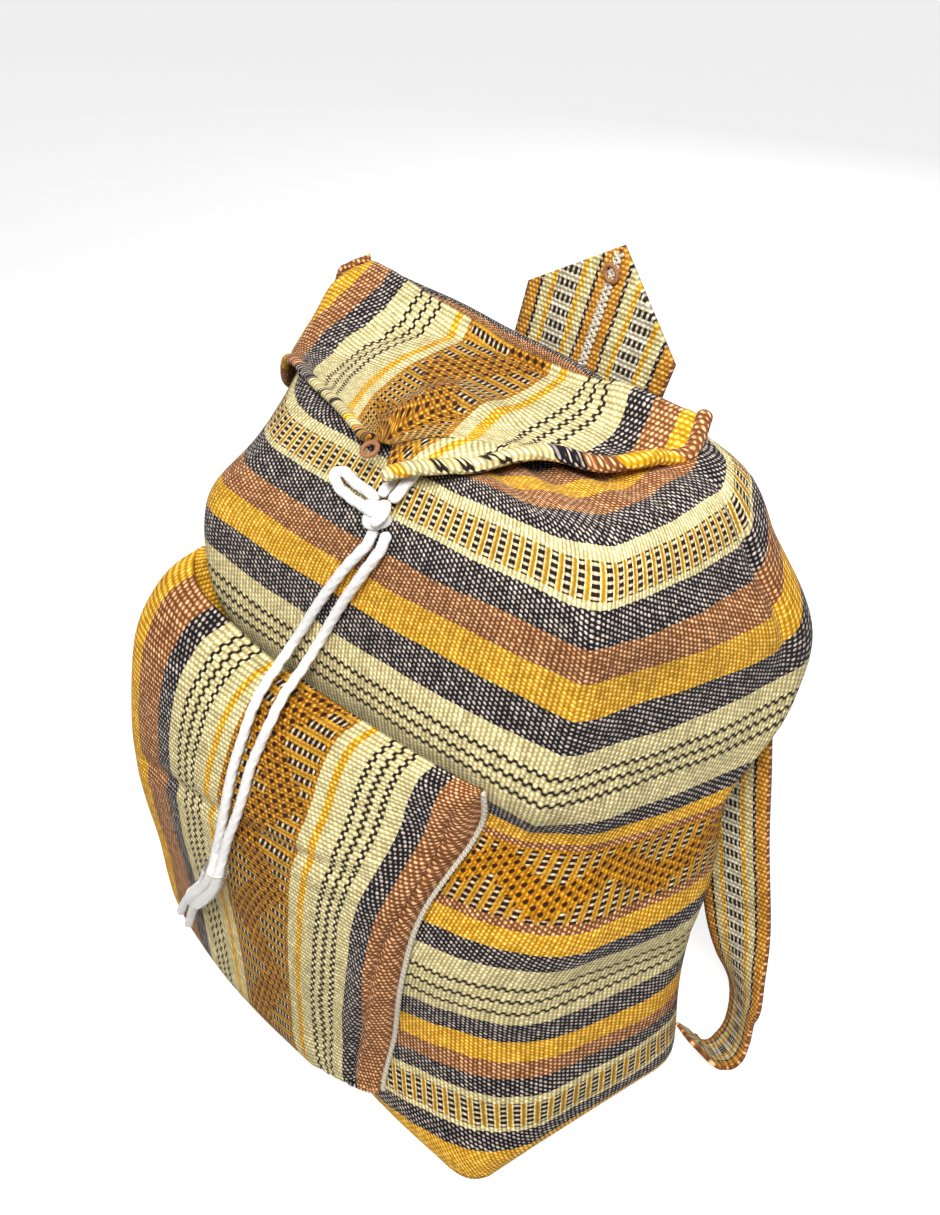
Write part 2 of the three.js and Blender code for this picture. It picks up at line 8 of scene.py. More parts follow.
# %% Load the frame
import bmesh
import bpy
import numpy as np
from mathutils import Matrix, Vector


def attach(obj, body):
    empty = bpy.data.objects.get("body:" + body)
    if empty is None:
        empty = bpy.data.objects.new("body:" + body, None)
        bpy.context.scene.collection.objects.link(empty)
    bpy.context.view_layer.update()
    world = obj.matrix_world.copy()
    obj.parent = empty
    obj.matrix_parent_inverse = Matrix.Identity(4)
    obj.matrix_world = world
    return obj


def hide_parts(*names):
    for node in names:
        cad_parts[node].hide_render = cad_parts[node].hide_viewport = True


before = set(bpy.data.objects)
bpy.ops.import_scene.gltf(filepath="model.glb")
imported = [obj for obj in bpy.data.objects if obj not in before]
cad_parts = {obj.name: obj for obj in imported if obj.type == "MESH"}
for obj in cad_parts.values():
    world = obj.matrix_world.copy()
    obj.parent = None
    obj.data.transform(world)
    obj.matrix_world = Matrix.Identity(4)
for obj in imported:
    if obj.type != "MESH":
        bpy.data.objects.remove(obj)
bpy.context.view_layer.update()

# %% [markdown]
# ## Camera
# The photograph looks down on the bag from its front right. A camera is a place, a target and a lens;
# the lens length is the film's long side times the focal length over the picture's side, both in pixels.

# %% Camera
camera_place, camera_target = (0.3343, -0.2621, 0.6207), (-0.0226, 0.0481, 0.2513)
film_side, focal_pixels, picture_side = 36.0, 1133, 1215


def add_object(name, data, place=(0, 0, 0), aim=None):
    """Puts a mesh, lamp or camera into the scene, and turns it to a point where one is given."""
    made = bpy.data.objects.new(name, data)
    made.location = place
    if aim is not None:
        made.rotation_euler = (Vector(aim) - Vector(place)).to_track_quat("-Z", "Y").to_euler()
    bpy.context.scene.collection.objects.link(made)
    return made


camera_data = bpy.data.cameras.new("camera")
camera_data.sensor_width, camera_data.clip_start = film_side, 0.01
camera_data.lens = film_side * focal_pixels / picture_side
bpy.context.scene.camera = add_object("camera", camera_data, camera_place, camera_target)
print("camera lens", round(camera_data.lens, 2), "mm")

# %% [markdown]
# ## Smooth lines
# A sewn bag has no straight lines, but it has a few places that can be named: its corners at some heights.
# A rail joins such places by one cubic for each span, whose slope at a place is half the step between
# its neighbours. Given an array of shares, it returns all the points at once.


# %% Rails
def with_ends(places):
    """The places and one more beyond each end, as far on as the step before it."""
    places = np.asarray(places, float)
    return np.concatenate([2 * places[:1] - places[1:2], places, 2 * places[-1:] - places[-2:-1]])


def rail(places, share):
    """Points on a smooth line through evenly numbered places.

    With a, b, c, d the four places round a span and s the share of it:
    b + s/2 (c - a + s (2a - 5b + 4c - d + s (3(b - c) + d - a))).
    """
    ends = with_ends(places)
    spans = len(ends) - 3
    spot = np.clip(share, 0, 1) * spans
    span = np.minimum(spot.astype(int), spans - 1)
    a, b, c, d = (ends[span + k] for k in range(4))
    s = (spot - span).reshape(spot.shape + (1,) * (a.ndim - spot.ndim))
    return b + s / 2 * (c - a + s * (2 * a - 5 * b + 4 * c - d + s * (3 * (b - c) + d - a)))


def smooth(value, low, high):
    """0 below low, 1 above high, and 3s^2 - 2s^3 of the share s between them."""
    s = np.clip((value - low) / (high - low), 0, 1)
    return s * s * (3 - 2 * s)


def between(value, rise, full, fall, gone):
    """0, then 1 from full to fall, then 0 again, smooth on both flanks."""
    return smooth(value, rise, full) * (1 - smooth(value, fall, gone))


def bell(distance, width):
    """1 at no distance, and e to the minus square of the distance in widths."""
    return np.exp(-(distance / width) ** 2)


def unit(vectors):
    """Vectors divided by their own lengths."""
    return vectors / np.linalg.norm(vectors, axis=-1, keepdims=True)


def paired(first, second):
    """Two grids of numbers, stretched to one shape, as a grid of pairs."""
    return np.stack(np.broadcast_arrays(first, second), -1)


print("rail through 0, 1, 4 at half way:", rail([[0.0], [1.0], [4.0]], np.array([0.5])).tolist())

# %% [markdown]
# ## The body's outline
# The bag bellies out low down, pinches in at a waist and leans back above it, where the straps pull.
# Each station gives the four corners of the outline at one height, in millimetres, and how soft they
# are. The last five run up to the mouth and down inside it: the hem that holds the drawstring.

# %% Stations of the body
foot_height, shoulder_height = 3.1, 358.0
crown_height, hem_top = 394.0, 386.0
mouth_width, mouth_depth, mouth_centre = 92.0, 44.0, 38.0
casing_half, casing_flare = 6.6, 8.0


def station(z, front, back, front_width, back_width, soft, back_soft=None, skew=0, tuck=0, bow=1.0):
    """One outline: front right, rear right, rear left and front left corners, then softness and bow."""
    corners = [[front_width / 2 - tuck, -front + skew / 2, z], [back_width / 2, back, z],
               [-back_width / 2, back, z], [-front_width / 2, -front - skew / 2, z]]
    return np.array(corners + [[soft, bow, soft if back_soft is None else back_soft]])


def mouth_station(grow, z):
    """The mouth's outline, wider by grow on each side."""
    half, wide = mouth_depth / 2 + grow, mouth_width + 2 * grow
    return station(z, half - mouth_centre, mouth_centre + half, wide, wide, 0.9, bow=0)


def at_height(share):
    """The height that is a share of the way from foot to shoulder."""
    return foot_height + share * (shoulder_height - foot_height)


shoulder = station(shoulder_height, 28, 90, 250, 274, 0.06, 0.16, skew=16)
shoulder[3] += (30, 4, -14)
shoulder[1, 0] -= 5
crown = station(crown_height - 9, 6, 72, 212, 258, 0.18, 0.12, skew=4, bow=0.6)
crown[3] += (26, 0, -14)
crown[1] += (-20, 0, 8.5)
crown[2, 2] += 17
stations = np.array([
    station(foot_height, 73, 73, 234, 276, 0.1, skew=-6, bow=0),
    station(at_height(0.08), 90, 75, 264, 304, 0.5, 0.12, skew=-13, tuck=12, bow=0),
    station(at_height(0.2), 87, 77, 274, 308, 0.56, 0.16, tuck=32, bow=0),
    station(at_height(0.34), 83, 79, 280, 308, 0.5, 0.18, skew=4, tuck=38, bow=0.1),
    station(at_height(0.48), 69, 83, 274, 308, 0.48, 0.18, skew=12, tuck=24, bow=0.3),
    station(at_height(0.62), 41, 90, 252, 298, 0.26, skew=24, tuck=17, bow=0.6),
    station(at_height(0.74), 41, 114, 248, 294, 0.1, 0.16, skew=28, tuck=9),
    station(at_height(0.87), 33, 111, 240, 294, 0.05, 0.16, skew=30, tuck=2),
    shoulder, crown,
    mouth_station(casing_half + casing_flare, hem_top - 9),
    mouth_station(casing_half, hem_top - 3.2), mouth_station(0, hem_top),
    mouth_station(-casing_half, hem_top - 3.2), mouth_station(-casing_half, hem_top - 16)])
last_station = len(stations) - 1
print("stations", len(stations), "heights", stations[:, 0, 2].round(0).tolist())

# %% [markdown]
# ## The body as a function of two parameters
# Side runs round the bag, 0 to 4 from the front right corner, and t runs up it. The outline is averaged
# over a window as wide as its softness: a narrow one keeps the ridge down the front, and a wide one makes
# the round belly. Cosines round the crown are the gathers.

# %% Body surface
side_bow, gather_count, gather_height = 7.0, 14, 1.8


def outline(corners, side, bow):
    """A point on the straight-sided outline, bowed out by a parabola between its corners."""
    turn = side % 4
    index = np.floor(turn).astype(int)
    share = (turn - index)[..., None]
    start = np.take_along_axis(corners, index[..., None, None], -2)[..., 0, :]
    end = np.take_along_axis(corners, ((index + 1) % 4)[..., None, None], -2)[..., 0, :]
    outward = unit(np.stack([(end - start)[..., 1], (start - end)[..., 0], 0 * turn], -1))
    return start + share * (end - start) + outward * side_bow * bow[..., None] * 4 * share * (1 - share)


def body_point(side, t):
    """The middle of the body cloth: the mean of nine outline points across its softness, plus gathers."""
    side, t = np.broadcast_arrays(np.asarray(side, float), np.asarray(t, float))
    found = rail(stations, t)
    front_soft, bow, back_soft = np.moveaxis(found[..., 4, :], -1, 0)
    frontness = smooth(np.abs((side + 4.5) % 4 - 2), 0, 2)
    soft = np.maximum(back_soft + (front_soft - back_soft) * frontness, 0)
    point = sum(outline(found[..., :4, :], side + soft * k / 4, bow) for k in range(-4, 5)) / 9
    place = t * last_station
    gather = gather_height * between(place, 8.6, 10, 10, 11)
    point[..., 2] += gather * np.cos(2 * np.pi * gather_count * side / 4)
    return point


def body_normal(side, t):
    """The outward direction: the cross product of a small step round the bag and one up it."""
    step = 0.004
    across = body_point(side + 4 * step, t) - body_point(side - 4 * step, t)
    upward = body_point(side, np.minimum(t + step, 1)) - body_point(side, np.maximum(t - step, 0))
    return unit(np.cross(across, upward))


def on_body(side, t, lift):
    """A point that lies a little off the cloth."""
    return body_point(side, t) + lift * body_normal(side, t)


wall_shares = np.linspace(0, 8 / last_station, 400)
wall_heights = rail(stations[:, 0, :], wall_shares)[:, 2]


def wall_share(z):
    """The share of the way along the stations at which the wall reaches a height."""
    return np.interp(z, wall_heights, wall_shares)


print("front ridge at 300 mm:", body_point(0.0, wall_share(300.0)).round(1).tolist())

# %% [markdown]
# ## From grid to mesh
# A grid of points becomes four-sided faces in one step, because each face is the same four corners
# shifted by a row and a column. The place in the flat cloth is kept as a UV map in metres, so that a
# stripe pattern follows the cloth wherever it goes, and threads bunch up where the cloth is gathered.


# %% Grid to mesh
def cloth_object(name, points, cloth, wrap=False, keep=None):
    """A mesh from a grid of points in millimetres, rows by columns, facing columns cross rows.

    cloth is the flat place of each point in millimetres, (along the stripes, across them). With wrap
    the last column joins the first, and cloth has one column more. keep marks the faces to make.
    Points that coincide are welded, so a pole is one vertex and a ring that meets itself is closed.
    """
    rows, columns = points.shape[:2]
    row, column = np.meshgrid(np.arange(rows - 1), np.arange(columns if wrap else columns - 1), indexing="ij")
    if keep is not None:
        row, column = row[keep], column[keep]
    steps = ((0, 0), (0, 1), (1, 1), (1, 0))
    faces = np.stack([(row + r) * columns + (column + c) % columns for r, c in steps], -1).reshape(-1, 4)
    flat = np.stack([(row + r) * cloth.shape[1] + column + c for r, c in steps], -1).ravel()
    mesh = bpy.data.meshes.new(name)
    mesh.vertices.add(rows * columns)
    mesh.vertices.foreach_set("co", (points * 0.001).ravel())
    mesh.loops.add(faces.size)
    mesh.loops.foreach_set("vertex_index", faces.ravel())
    mesh.polygons.add(len(faces))
    mesh.polygons.foreach_set("loop_start", np.arange(0, faces.size, 4))
    mesh.polygons.foreach_set("use_smooth", np.ones(len(faces), bool))
    mesh.update(calc_edges=True)
    mesh.uv_layers.new(name="cloth").uv.foreach_set("vector", (cloth.reshape(-1, 2)[flat] * 0.001).ravel())
    mesh.validate()
    welded = bmesh.new()
    welded.from_mesh(mesh)
    bmesh.ops.remove_doubles(welded, verts=welded.verts, dist=1e-6)
    welded.to_mesh(mesh)
    welded.free()
    return add_object(name, mesh)


def lengths(points, axis):
    """Distance along a grid from its start, in millimetres."""
    steps = np.linalg.norm(np.diff(points, axis=axis), axis=-1)
    return np.concatenate([np.zeros_like(steps.take([0], axis)), np.cumsum(steps, axis)], axis)


def stands_for(piece, nodes, material, thickness=None):
    """Says what a piece replaces, what it moves with, and what finish it has.

    With a thickness, the cloth is closed by half of it to each side of its middle.
    """
    if thickness:
        wall = piece.modifiers.new("thickness", "SOLIDIFY")
        wall.thickness, wall.offset = thickness * 0.001, 0
    if nodes:
        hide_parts(*nodes)
    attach(piece, "root")
    piece.data.materials.append(material)


print("a 3 by 4 unit step is", float(lengths(np.array([[[0.0, 0, 0], [3.0, 4, 0]]]), 1)[0, -1]), "long")

# %% [markdown]
# ## Fields: arithmetic in a material
# A weave is arithmetic on the place in the cloth. The class Field holds one number that varies over
# the surface, and each sum or product with it adds a Math node, so a formula can be read in one line.


# %% Field
def feed(tree, value, entry):
    """Links an input to a Field or a socket, or gives it a number or a colour."""
    value = value.socket if isinstance(value, Field) else value
    if isinstance(value, bpy.types.NodeSocket):
        tree.links.new(value, entry)
    else:
        entry.default_value = value


def add_node(tree, kind, entries=(), **settings):
    """A shader node. entries pair the number or name of an input with what feeds it."""
    node = tree.nodes.new("ShaderNode" + kind)
    for name, value in settings.items():
        setattr(node, name, value)
    for name, value in dict(entries).items():
        feed(tree, value, node.inputs[name])
    return node


class Field:
    """A varying number in a node tree."""

    def __init__(self, tree, socket):
        self.tree, self.socket = tree, socket

    def apply(self, operation, *others):
        """One Math node."""
        node = add_node(self.tree, "Math", enumerate((self, *others)), operation=operation)
        return Field(self.tree, node.outputs[0])

    __add__, __sub__, __mul__, __truediv__ = (
        lambda self, other, operation=operation: self.apply(operation, other)
        for operation in ("ADD", "SUBTRACT", "MULTIPLY", "DIVIDE"))

    def rest(self):
        """One minus the field."""
        return self * -1 + 1

    def part(self):
        """What is left after the whole number, from -0.5 to 0.5, so 0 is the middle of a cell."""
        return self.apply("FRACT") - 0.5

    def size(self):
        """The field without its sign."""
        return self.apply("ABSOLUTE")

    def cosine(self):
        """1 in the middle of a cell, 0 at its edges."""
        return (self * (2 * np.pi)).apply("COSINE") * 0.5 + 0.5

    def below(self, limit, soft):
        """1 where the field is less than limit, 0 where it is more, soft at the edge."""
        node = add_node(self.tree, "MapRange", enumerate((self, limit - soft, limit + soft, 1, 0)),
                        interpolation_type="SMOOTHSTEP")
        return Field(self.tree, node.outputs[0])


def blend_colours(tree, factor, first, second):
    """A Mix node for colours; first and second are sockets or colours."""
    return add_node(tree, "Mix", {0: factor, 6: first, 7: second}, data_type="RGBA").outputs[2]


def paint(red, green, blue):
    """A screen colour of 0 to 255 as the linear colour that Blender mixes."""
    share = np.array([red, green, blue]) / 255
    linear = np.where(share < 0.04045, share / 12.92, ((share + 0.055) / 1.055) ** 2.4)
    return (*linear.tolist(), 1.0)


def pattern_group(name, inputs, outputs, build):
    """A node group of plain numbers: build gets a Field for each input and returns one per output."""
    tree = bpy.data.node_groups.new(name, "ShaderNodeTree")
    for way, entries in (("INPUT", inputs), ("OUTPUT", outputs)):
        for entry in entries:
            tree.interface.new_socket(entry, in_out=way, socket_type="NodeSocketFloat")
    start, end = tree.nodes.new("NodeGroupInput"), tree.nodes.new("NodeGroupOutput")
    made = build(*[Field(tree, start.outputs[k]) for k in range(len(inputs))])
    for entry, field in zip(end.inputs, made):
        feed(tree, field, entry)
    return tree


def use_group(tree, group, *values):
    """Puts a group into a material and returns its outputs as Fields."""
    node = add_node(tree, "Group", node_tree=group)
    for entry, value in zip(node.inputs, values):
        feed(tree, value, entry)
    return [Field(tree, output) for output in node.outputs]


print("screen grey 128 is", round(paint(128, 128, 128)[0], 3), "of the light")

# %% [markdown]
# ## The weave
# The cloth is a thick plain weave. Its warp threads show as ribs across every stripe, about two and a
# half millimetres apart, and where warp and weft differ in colour the weft shows between them as
# staggered flecks, as bricks in a wall. The woven figures are made of the same threads: dotted lines,
# a ladder of rungs, rows of dashes, and triangles of rungs that leave diamonds between them.

# %% Weave
thread_pitch, pick_pitch, stitch_pitch, dash_pitch, speck_pitch = 2.533, 2.4, 3.1, 7.6, 5.0
bar_pitch = 3 * thread_pitch
dark_half, light_half, gold_half, stitch_half = 1.95, 1.7, 1.25, 0.33


def bricks(along, across, wide, high):
    """Column and row of a brick pattern, in which every other column is half a row higher."""
    column = along / wide
    return column, across / high + column.apply("FLOOR").apply("FLOORED_MODULO", 2) * 0.5


def cell_noise(column, row):
    """A random number for each stitch: white noise of the two whole numbers that name it."""
    tree = column.tree
    name = add_node(tree, "CombineXYZ", enumerate((column.apply("FLOOR"), row.apply("FLOOR"))))
    noise = add_node(tree, "TexWhiteNoise", {"Vector": name.outputs[0]}, noise_dimensions="2D")
    return Field(tree, noise.outputs[0])


def distance(x, y):
    """The root of the sum of two squares."""
    return (x.apply("POWER", 2) + y.apply("POWER", 2)).apply("SQRT")


def weave_cells(along, across):
    """Flecks: uneven ellipses in a brick pattern. Rib and bead: a cosine each. Tone: one per stitch."""
    column, row = bricks(along, across, thread_pitch, pick_pitch)
    tone = cell_noise(column, row)
    x, y = column.part(), row.part()
    fleck = distance(x * 2.6, (y + x * 0.4) * 3.3).below(tone * 0.5 + 0.58, 0.26)
    return fleck, x.cosine(), y.cosine(), tone


def dotted_lines(along, offset, spacing):
    """Three lines a spacing apart, each a wave with flat tops as wide as one thread."""
    line = (offset / spacing + 0.5).part() * spacing
    wave = (along * (np.pi / thread_pitch)).apply("SINE") * 2.2
    wave = wave.apply("MINIMUM", 1).apply("MAXIMUM", -1) * 0.8
    return [(line - wave).size().below(0.9, 0.25) * (offset / spacing).size().below(1.5, 0.01)]


def within(offset, reach):
    """1 on the stripe that a figure is woven in."""
    return (offset.size() - reach).below(0, 0.3)


def rungs(along, offset):
    """A bar every third thread, of dark and light stitches by turns, and a gold thread between bars."""
    bar = ((along / bar_pitch).part() * bar_pitch).size()
    stitch = (offset / stitch_pitch).part().size().below(stitch_half, 0.08)
    return (bar.below(dark_half, 0.25) * stitch, bar.below(light_half, 0.3) * stitch.rest(),
            (bar - bar_pitch * 0.5).size().below(gold_half, 0.25))


def ladder_marks(along, offset, reach):
    """Rungs all along a stripe, as long as twice its reach."""
    inside = within(offset, reach)
    return [mark * inside for mark in rungs(along, offset)]


def dash_marks(along, offset, reach):
    """Rows of four short dashes side by side, each row separated from the next by a plain gap."""
    row = (along / dash_pitch).part().size()
    dash = (offset / (reach * 0.5) + 0.5).part().size()
    return [row.below(0.27, 0.05) * dash.below(0.31, 0.08) * within(offset, reach)]


def diamond_marks(along, offset, reach):
    """Rungs that stand in triangles on both edges, half a repeat apart, and specks between them."""
    bar = (along / bar_pitch).apply("FLOOR") * bar_pitch
    climb = (bar / (9 * bar_pitch)).part().size() * 2
    low = (offset + reach - climb * reach * 1.05).below(0, 0.5)
    high = (offset * -1 + reach - climb.rest() * reach * 1.05).below(0, 0.5)
    inside = within(offset, reach)
    barred = low.apply("MAXIMUM", high) * inside
    column, row = bricks(along, offset, 2 * thread_pitch, speck_pitch)
    speck = distance(column.part() * 3.0, row.part() * 3.6).below(0.95, 0.25)
    return *(mark * barred for mark in rungs(along, offset)), speck * barred.rest() * inside


weave = pattern_group("weave", ["Along", "Across"], ["Fleck", "Rib", "Bead", "Tone"], weave_cells)
dotted = pattern_group("dotted lines", ["Along", "Offset", "Spacing"], ["Line"], dotted_lines)
ladder, dashes, diamonds = (
    pattern_group(name, ["Along", "Offset", "Reach"], outputs, marks) for name, outputs, marks in
    (("ladder", ["Dark", "Light", "Thread"], ladder_marks), ("dashes", ["Dash"], dash_marks),
     ("diamonds", ["Dark", "Light", "Thread", "Speck"], diamond_marks)))
print("weave groups", [group.name for group in (weave, dotted, ladder, dashes, diamonds)])

# %% [markdown]
# ## Stripes
# A stripe is an entry in a list: its yarn and where it ends, in millimetres across the cloth. Two
# colour ramps with constant steps turn the list into the colour of the ribs and of the flecks.

# %% Yarn colours
yarns = {"black": (paint(24, 20, 25), paint(182, 168, 156)),
         "cream": (paint(200, 184, 130), paint(230, 216, 170)),
         "white": (paint(190, 180, 152), paint(224, 216, 196)),
         "yellow": (paint(208, 148, 22), paint(244, 200, 94)),
         "orange": (paint(182, 122, 34), paint(224, 170, 84)),
         "brown": (paint(132, 80, 42), paint(218, 172, 126)),
         "mustard": (paint(172, 112, 8), paint(204, 144, 30)),
         "umber": (paint(152, 98, 18), paint(204, 150, 50))}
dark_stitch, light_stitch = paint(34, 18, 18), paint(206, 190, 156)
gold_thread, line_thread, speck_thread = paint(182, 134, 38), paint(34, 27, 24), paint(56, 24, 14)
figure_kinds = {"dotted": (dotted, [line_thread]), "dashes": (dashes, [line_thread]),
                "ladder": (ladder, [dark_stitch, light_stitch, gold_thread]),
                "diamonds": (diamonds, [dark_stitch, light_stitch, gold_thread, speck_thread])}


def stripe_ramp(tree, across, stripes, which):
    """A colour ramp with one constant step for each stripe."""
    reach = stripes[-1][1]
    node = add_node(tree, "ValToRGB", {0: across / reach})
    node.color_ramp.interpolation = "CONSTANT"
    elements = node.color_ramp.elements
    starts = [0.0] + [end for _, end in stripes[:-1]]
    while len(elements) < len(stripes):
        elements.new(1.0)
    for element, start in zip(elements, starts):
        element.position = start / reach
    for element, (yarn, _) in zip(elements, stripes):
        element.color = yarns[yarn][which]
    return node.outputs[0]


print("yarns", list(yarns), "and figures", list(figure_kinds))

# %% [markdown]
# ## Cloth material
# One recipe serves every cloth: ribs and flecks from the weave group, then the woven figures over them,
# then a slow mottle, as hand-dyed yarn has. The colour is also darkened in the grooves between ribs and
# beads and lightened on their crowns: painted shade and painted light. The height for the bump comes from
# the same fields as the colour, so a fleck that looks raised also catches the light.


# %% Cloth material
def new_material(name, settings):
    """A material, its node tree and its shader."""
    material = bpy.data.materials.new(name)
    material.use_nodes = True
    shader = material.node_tree.nodes["Principled BSDF"]
    for entry, value in settings.items():
        feed(material.node_tree, value, shader.inputs[entry])
    return material, material.node_tree, shader


def cloth_place(tree):
    """The place in the flat cloth, and its two numbers in millimetres."""
    place = add_node(tree, "UVMap", uv_map="cloth").outputs[0]
    parts = add_node(tree, "SeparateXYZ", {0: place})
    return place, Field(tree, parts.outputs[0]) * 1000, Field(tree, parts.outputs[1]) * 1000


def soft_noise(tree, place, scale, detail=2):
    """Noise between 0 and 1 with about so many bumps to the metre."""
    noise = add_node(tree, "TexNoise", {"Vector": place, "Scale": scale, "Detail": detail})
    return Field(tree, noise.outputs[0])


def emboss(tree, shader, height, strength, depth):
    """Bump from a Field, as deep as depth in metres."""
    bump = add_node(tree, "Bump", {"Strength": strength, "Distance": depth, "Height": height})
    feed(tree, bump.outputs[0], shader.inputs["Normal"])


def cloth_material(name, stripes, figures=(), mirror=False):
    """A striped cloth. figures are (kind, centre, size) across the cloth; with mirror both sides get one."""
    material, tree, shader = new_material(name, {"Roughness": 0.92, "Specular IOR Level": 0.15,
                                                 "Sheen Weight": 0.03})
    place, along, across = cloth_place(tree)
    across = across + (soft_noise(tree, place, 28) - 0.5) * 3.0
    far = across.size() if mirror else across
    fleck, rib, bead, tone = use_group(tree, weave, along, across)
    slub = soft_noise(tree, place, 330, 1)
    fleck = fleck * (slub.below(0.42, 0.14).rest() * 0.55 + 0.45)
    colour = blend_colours(tree, fleck, *(stripe_ramp(tree, far, stripes, which) for which in (0, 1)))
    for kind, centre, size in figures:
        offset = (across if centre == 0 and mirror else far) - centre
        group, tints = figure_kinds[kind]
        for mask, tint in zip(use_group(tree, group, along, offset, size), tints):
            colour = blend_colours(tree, mask, colour, tint)
    thread = add_node(tree, "TexWhiteNoise", noise_dimensions="1D")
    feed(tree, (along / thread_pitch).apply("FLOOR"), thread.inputs["W"])
    # The colour is scaled by random tone (slow mottle, one tone per thread, slub, one per stitch) and by the
    # rib and bead cosines. The cosines are painted shade in the grooves between threads and painted light on
    # their crowns.
    shade = soft_noise(tree, place, 9, 5) * 0.34 + Field(tree, thread.outputs[0]) * 0.16
    shade = shade + rib * 0.56 + bead * 0.16 + slub * 0.3 + tone * 0.3
    toned = add_node(tree, "VectorMath", {0: colour}, operation="SCALE")
    feed(tree, shade, toned.inputs["Scale"])
    feed(tree, toned.outputs[0], shader.inputs["Base Color"])
    emboss(tree, shader, rib * 0.6 + bead * 0.3 + fleck * 0.3, 0.6, 0.0007)
    return material


body_stripes = [("yellow", 23.4), ("black", 35), ("cream", 54.8), ("black", 66.9), ("brown", 78),
                ("yellow", 92.7), ("black", 107.8), ("cream", 151.8), ("black", 166.1), ("yellow", 178),
                ("brown", 184.7), ("mustard", 220), ("brown", 224), ("yellow", 233.6), ("black", 245),
                ("cream", 290.1), ("black", 309.4), ("yellow", 330.8), ("brown", 352.1), ("black", 367.9),
                ("cream", 393), ("black", 405), ("brown", 419), ("yellow", 433), ("brown", 447),
                ("black", 460), ("cream", 560)]
body_figures = [("ladder", 45, 7.6), ("dotted", 128, 9.4), ("diamonds", 202, 17.5), ("dotted", 270, 7.4),
                ("ladder", 380.5, 7.6)]
flap_stripes = [("umber", 27), ("cream", 33), ("yellow", 37), ("cream", 76), ("black", 89),
                ("brown", 103), ("yellow", 114), ("brown", 160)]
pocket_stripes = [("umber", 25), ("cream", 31), ("yellow", 35), ("cream", 66), ("black", 77),
                  ("brown", 98), ("yellow", 200)]
band_stripes = [("white", 6.2), ("yellow", 8.6), ("cream", 13.6), ("black", 15.6), ("orange", 22),
                ("brown", 40)]
striped_cloth = cloth_material("striped_cloth", body_stripes, body_figures)
flap_cloth, pocket_cloth, base_cloth, strap_band = (
    cloth_material(name, stripes, figures, mirror=True) for name, stripes, figures in
    (("flap_cloth", flap_stripes, [("diamonds", 0, 25), ("dotted", 57, 6.8)]),
     ("pocket_cloth", pocket_stripes, [("diamonds", 0, 23), ("dotted", 51, 6.2)]),
     ("base_cloth", [("yellow", 12), ("brown", 24), ("yellow", 300)], []),
     ("strap_band", band_stripes, [("dashes", 0, 5.8)])))
print("cloths", [cloth.name for cloth in (striped_cloth, flap_cloth, pocket_cloth, base_cloth, strap_band)])

# %% [markdown]
# ## The body
# One tube of cloth, woven round with its stripes level. It is cut a little finer than the eye needs,
# so that shallow creases can be pressed into it. The cloth's length is its height up to the shoulder and
# the distance over the crown above it, and its width is the tube's real girth, 117 bars of the pattern.

# %% Body
around_count, row_count, body_thickness = 224, 150, 2.0
ridge_height, valley_depth, tuck_height = 4.0, 3.4, 30
girth = 117 * bar_pitch
side_grid = np.linspace(0, 4, around_count, endpoint=False) + 2
t_grid = np.linspace(0, 1, row_count)[:, None]


def near_shoulder(t):
    """1 at the shoulder's height, 0 at the waist and on top of the crown."""
    return between(t, 0.45, 0.53, 0.6, 0.66)


def creases(side, t):
    """How far the cloth is moved outwards.

    A ridge is pressed into the front right corner and a valley beside the rear right one. Shallow waves
    go inwards, deepest where the cloth is slack and on the bare right side.
    """
    turned = (side + 1) % 4 - 1
    wave = np.sin(9.0 * side + 17 * t) + np.sin(23 * side - 31 * t + 1.3) + np.sin(5 * side + 49 * t + 0.7)
    slack = between(t, 0.03, 0.1, 0.55, 0.64)
    bare = between(turned, -0.35, 0.1, 0.7, 1.0)
    fold = np.sin(60 * t + 3 * side) * np.sin(3.4 * side + 11 * t + 2)
    ridge = ridge_height * np.exp(-np.abs(turned) / 0.06) * between(t, 0.3, 0.42, 0.58, 0.66)
    valley = valley_depth * bell(turned - 0.76 - 0.3 * (0.57 - t), 0.03) * near_shoulder(t)
    return ridge - valley - (0.9 + 0.28 * wave) * slack - bare * slack * (1.6 + 1.6 * fold)


def tuck(side, t):
    """How far the cloth is drawn up at the rear right corner, so that its stripes climb there."""
    return tuck_height * between((side + 1) % 4 - 1, 0.74, 1.0, 1.15, 1.6) * near_shoulder(t)


body_grid = body_point(side_grid[None, :], t_grid)
body_grid += body_normal(side_grid[None, :], t_grid) * creases(side_grid[None, :], t_grid)[..., None]
climbed = lengths(body_grid, 0).mean(axis=1)
shoulder_row = 8 / last_station
over_crown = climbed - np.interp(shoulder_row, t_grid[:, 0], climbed)
cloth_up = np.where(t_grid[:, 0] < shoulder_row, rail(stations[:, 1, :], t_grid[:, 0])[:, 2],
                    shoulder_height + over_crown)
ring = np.concatenate([body_grid, body_grid[:, :1]], axis=1)
belt = lengths(ring, 1)[(t_grid[:, 0] > 0.15) & (t_grid[:, 0] < 0.55)].mean(axis=0)
cloth_round = belt / belt[-1] * girth
ring_side = np.append(side_grid, side_grid[-1] + 4 / around_count)
body_cloth = paired(cloth_round[None, :], cloth_up[:, None] - tuck(ring_side, t_grid))

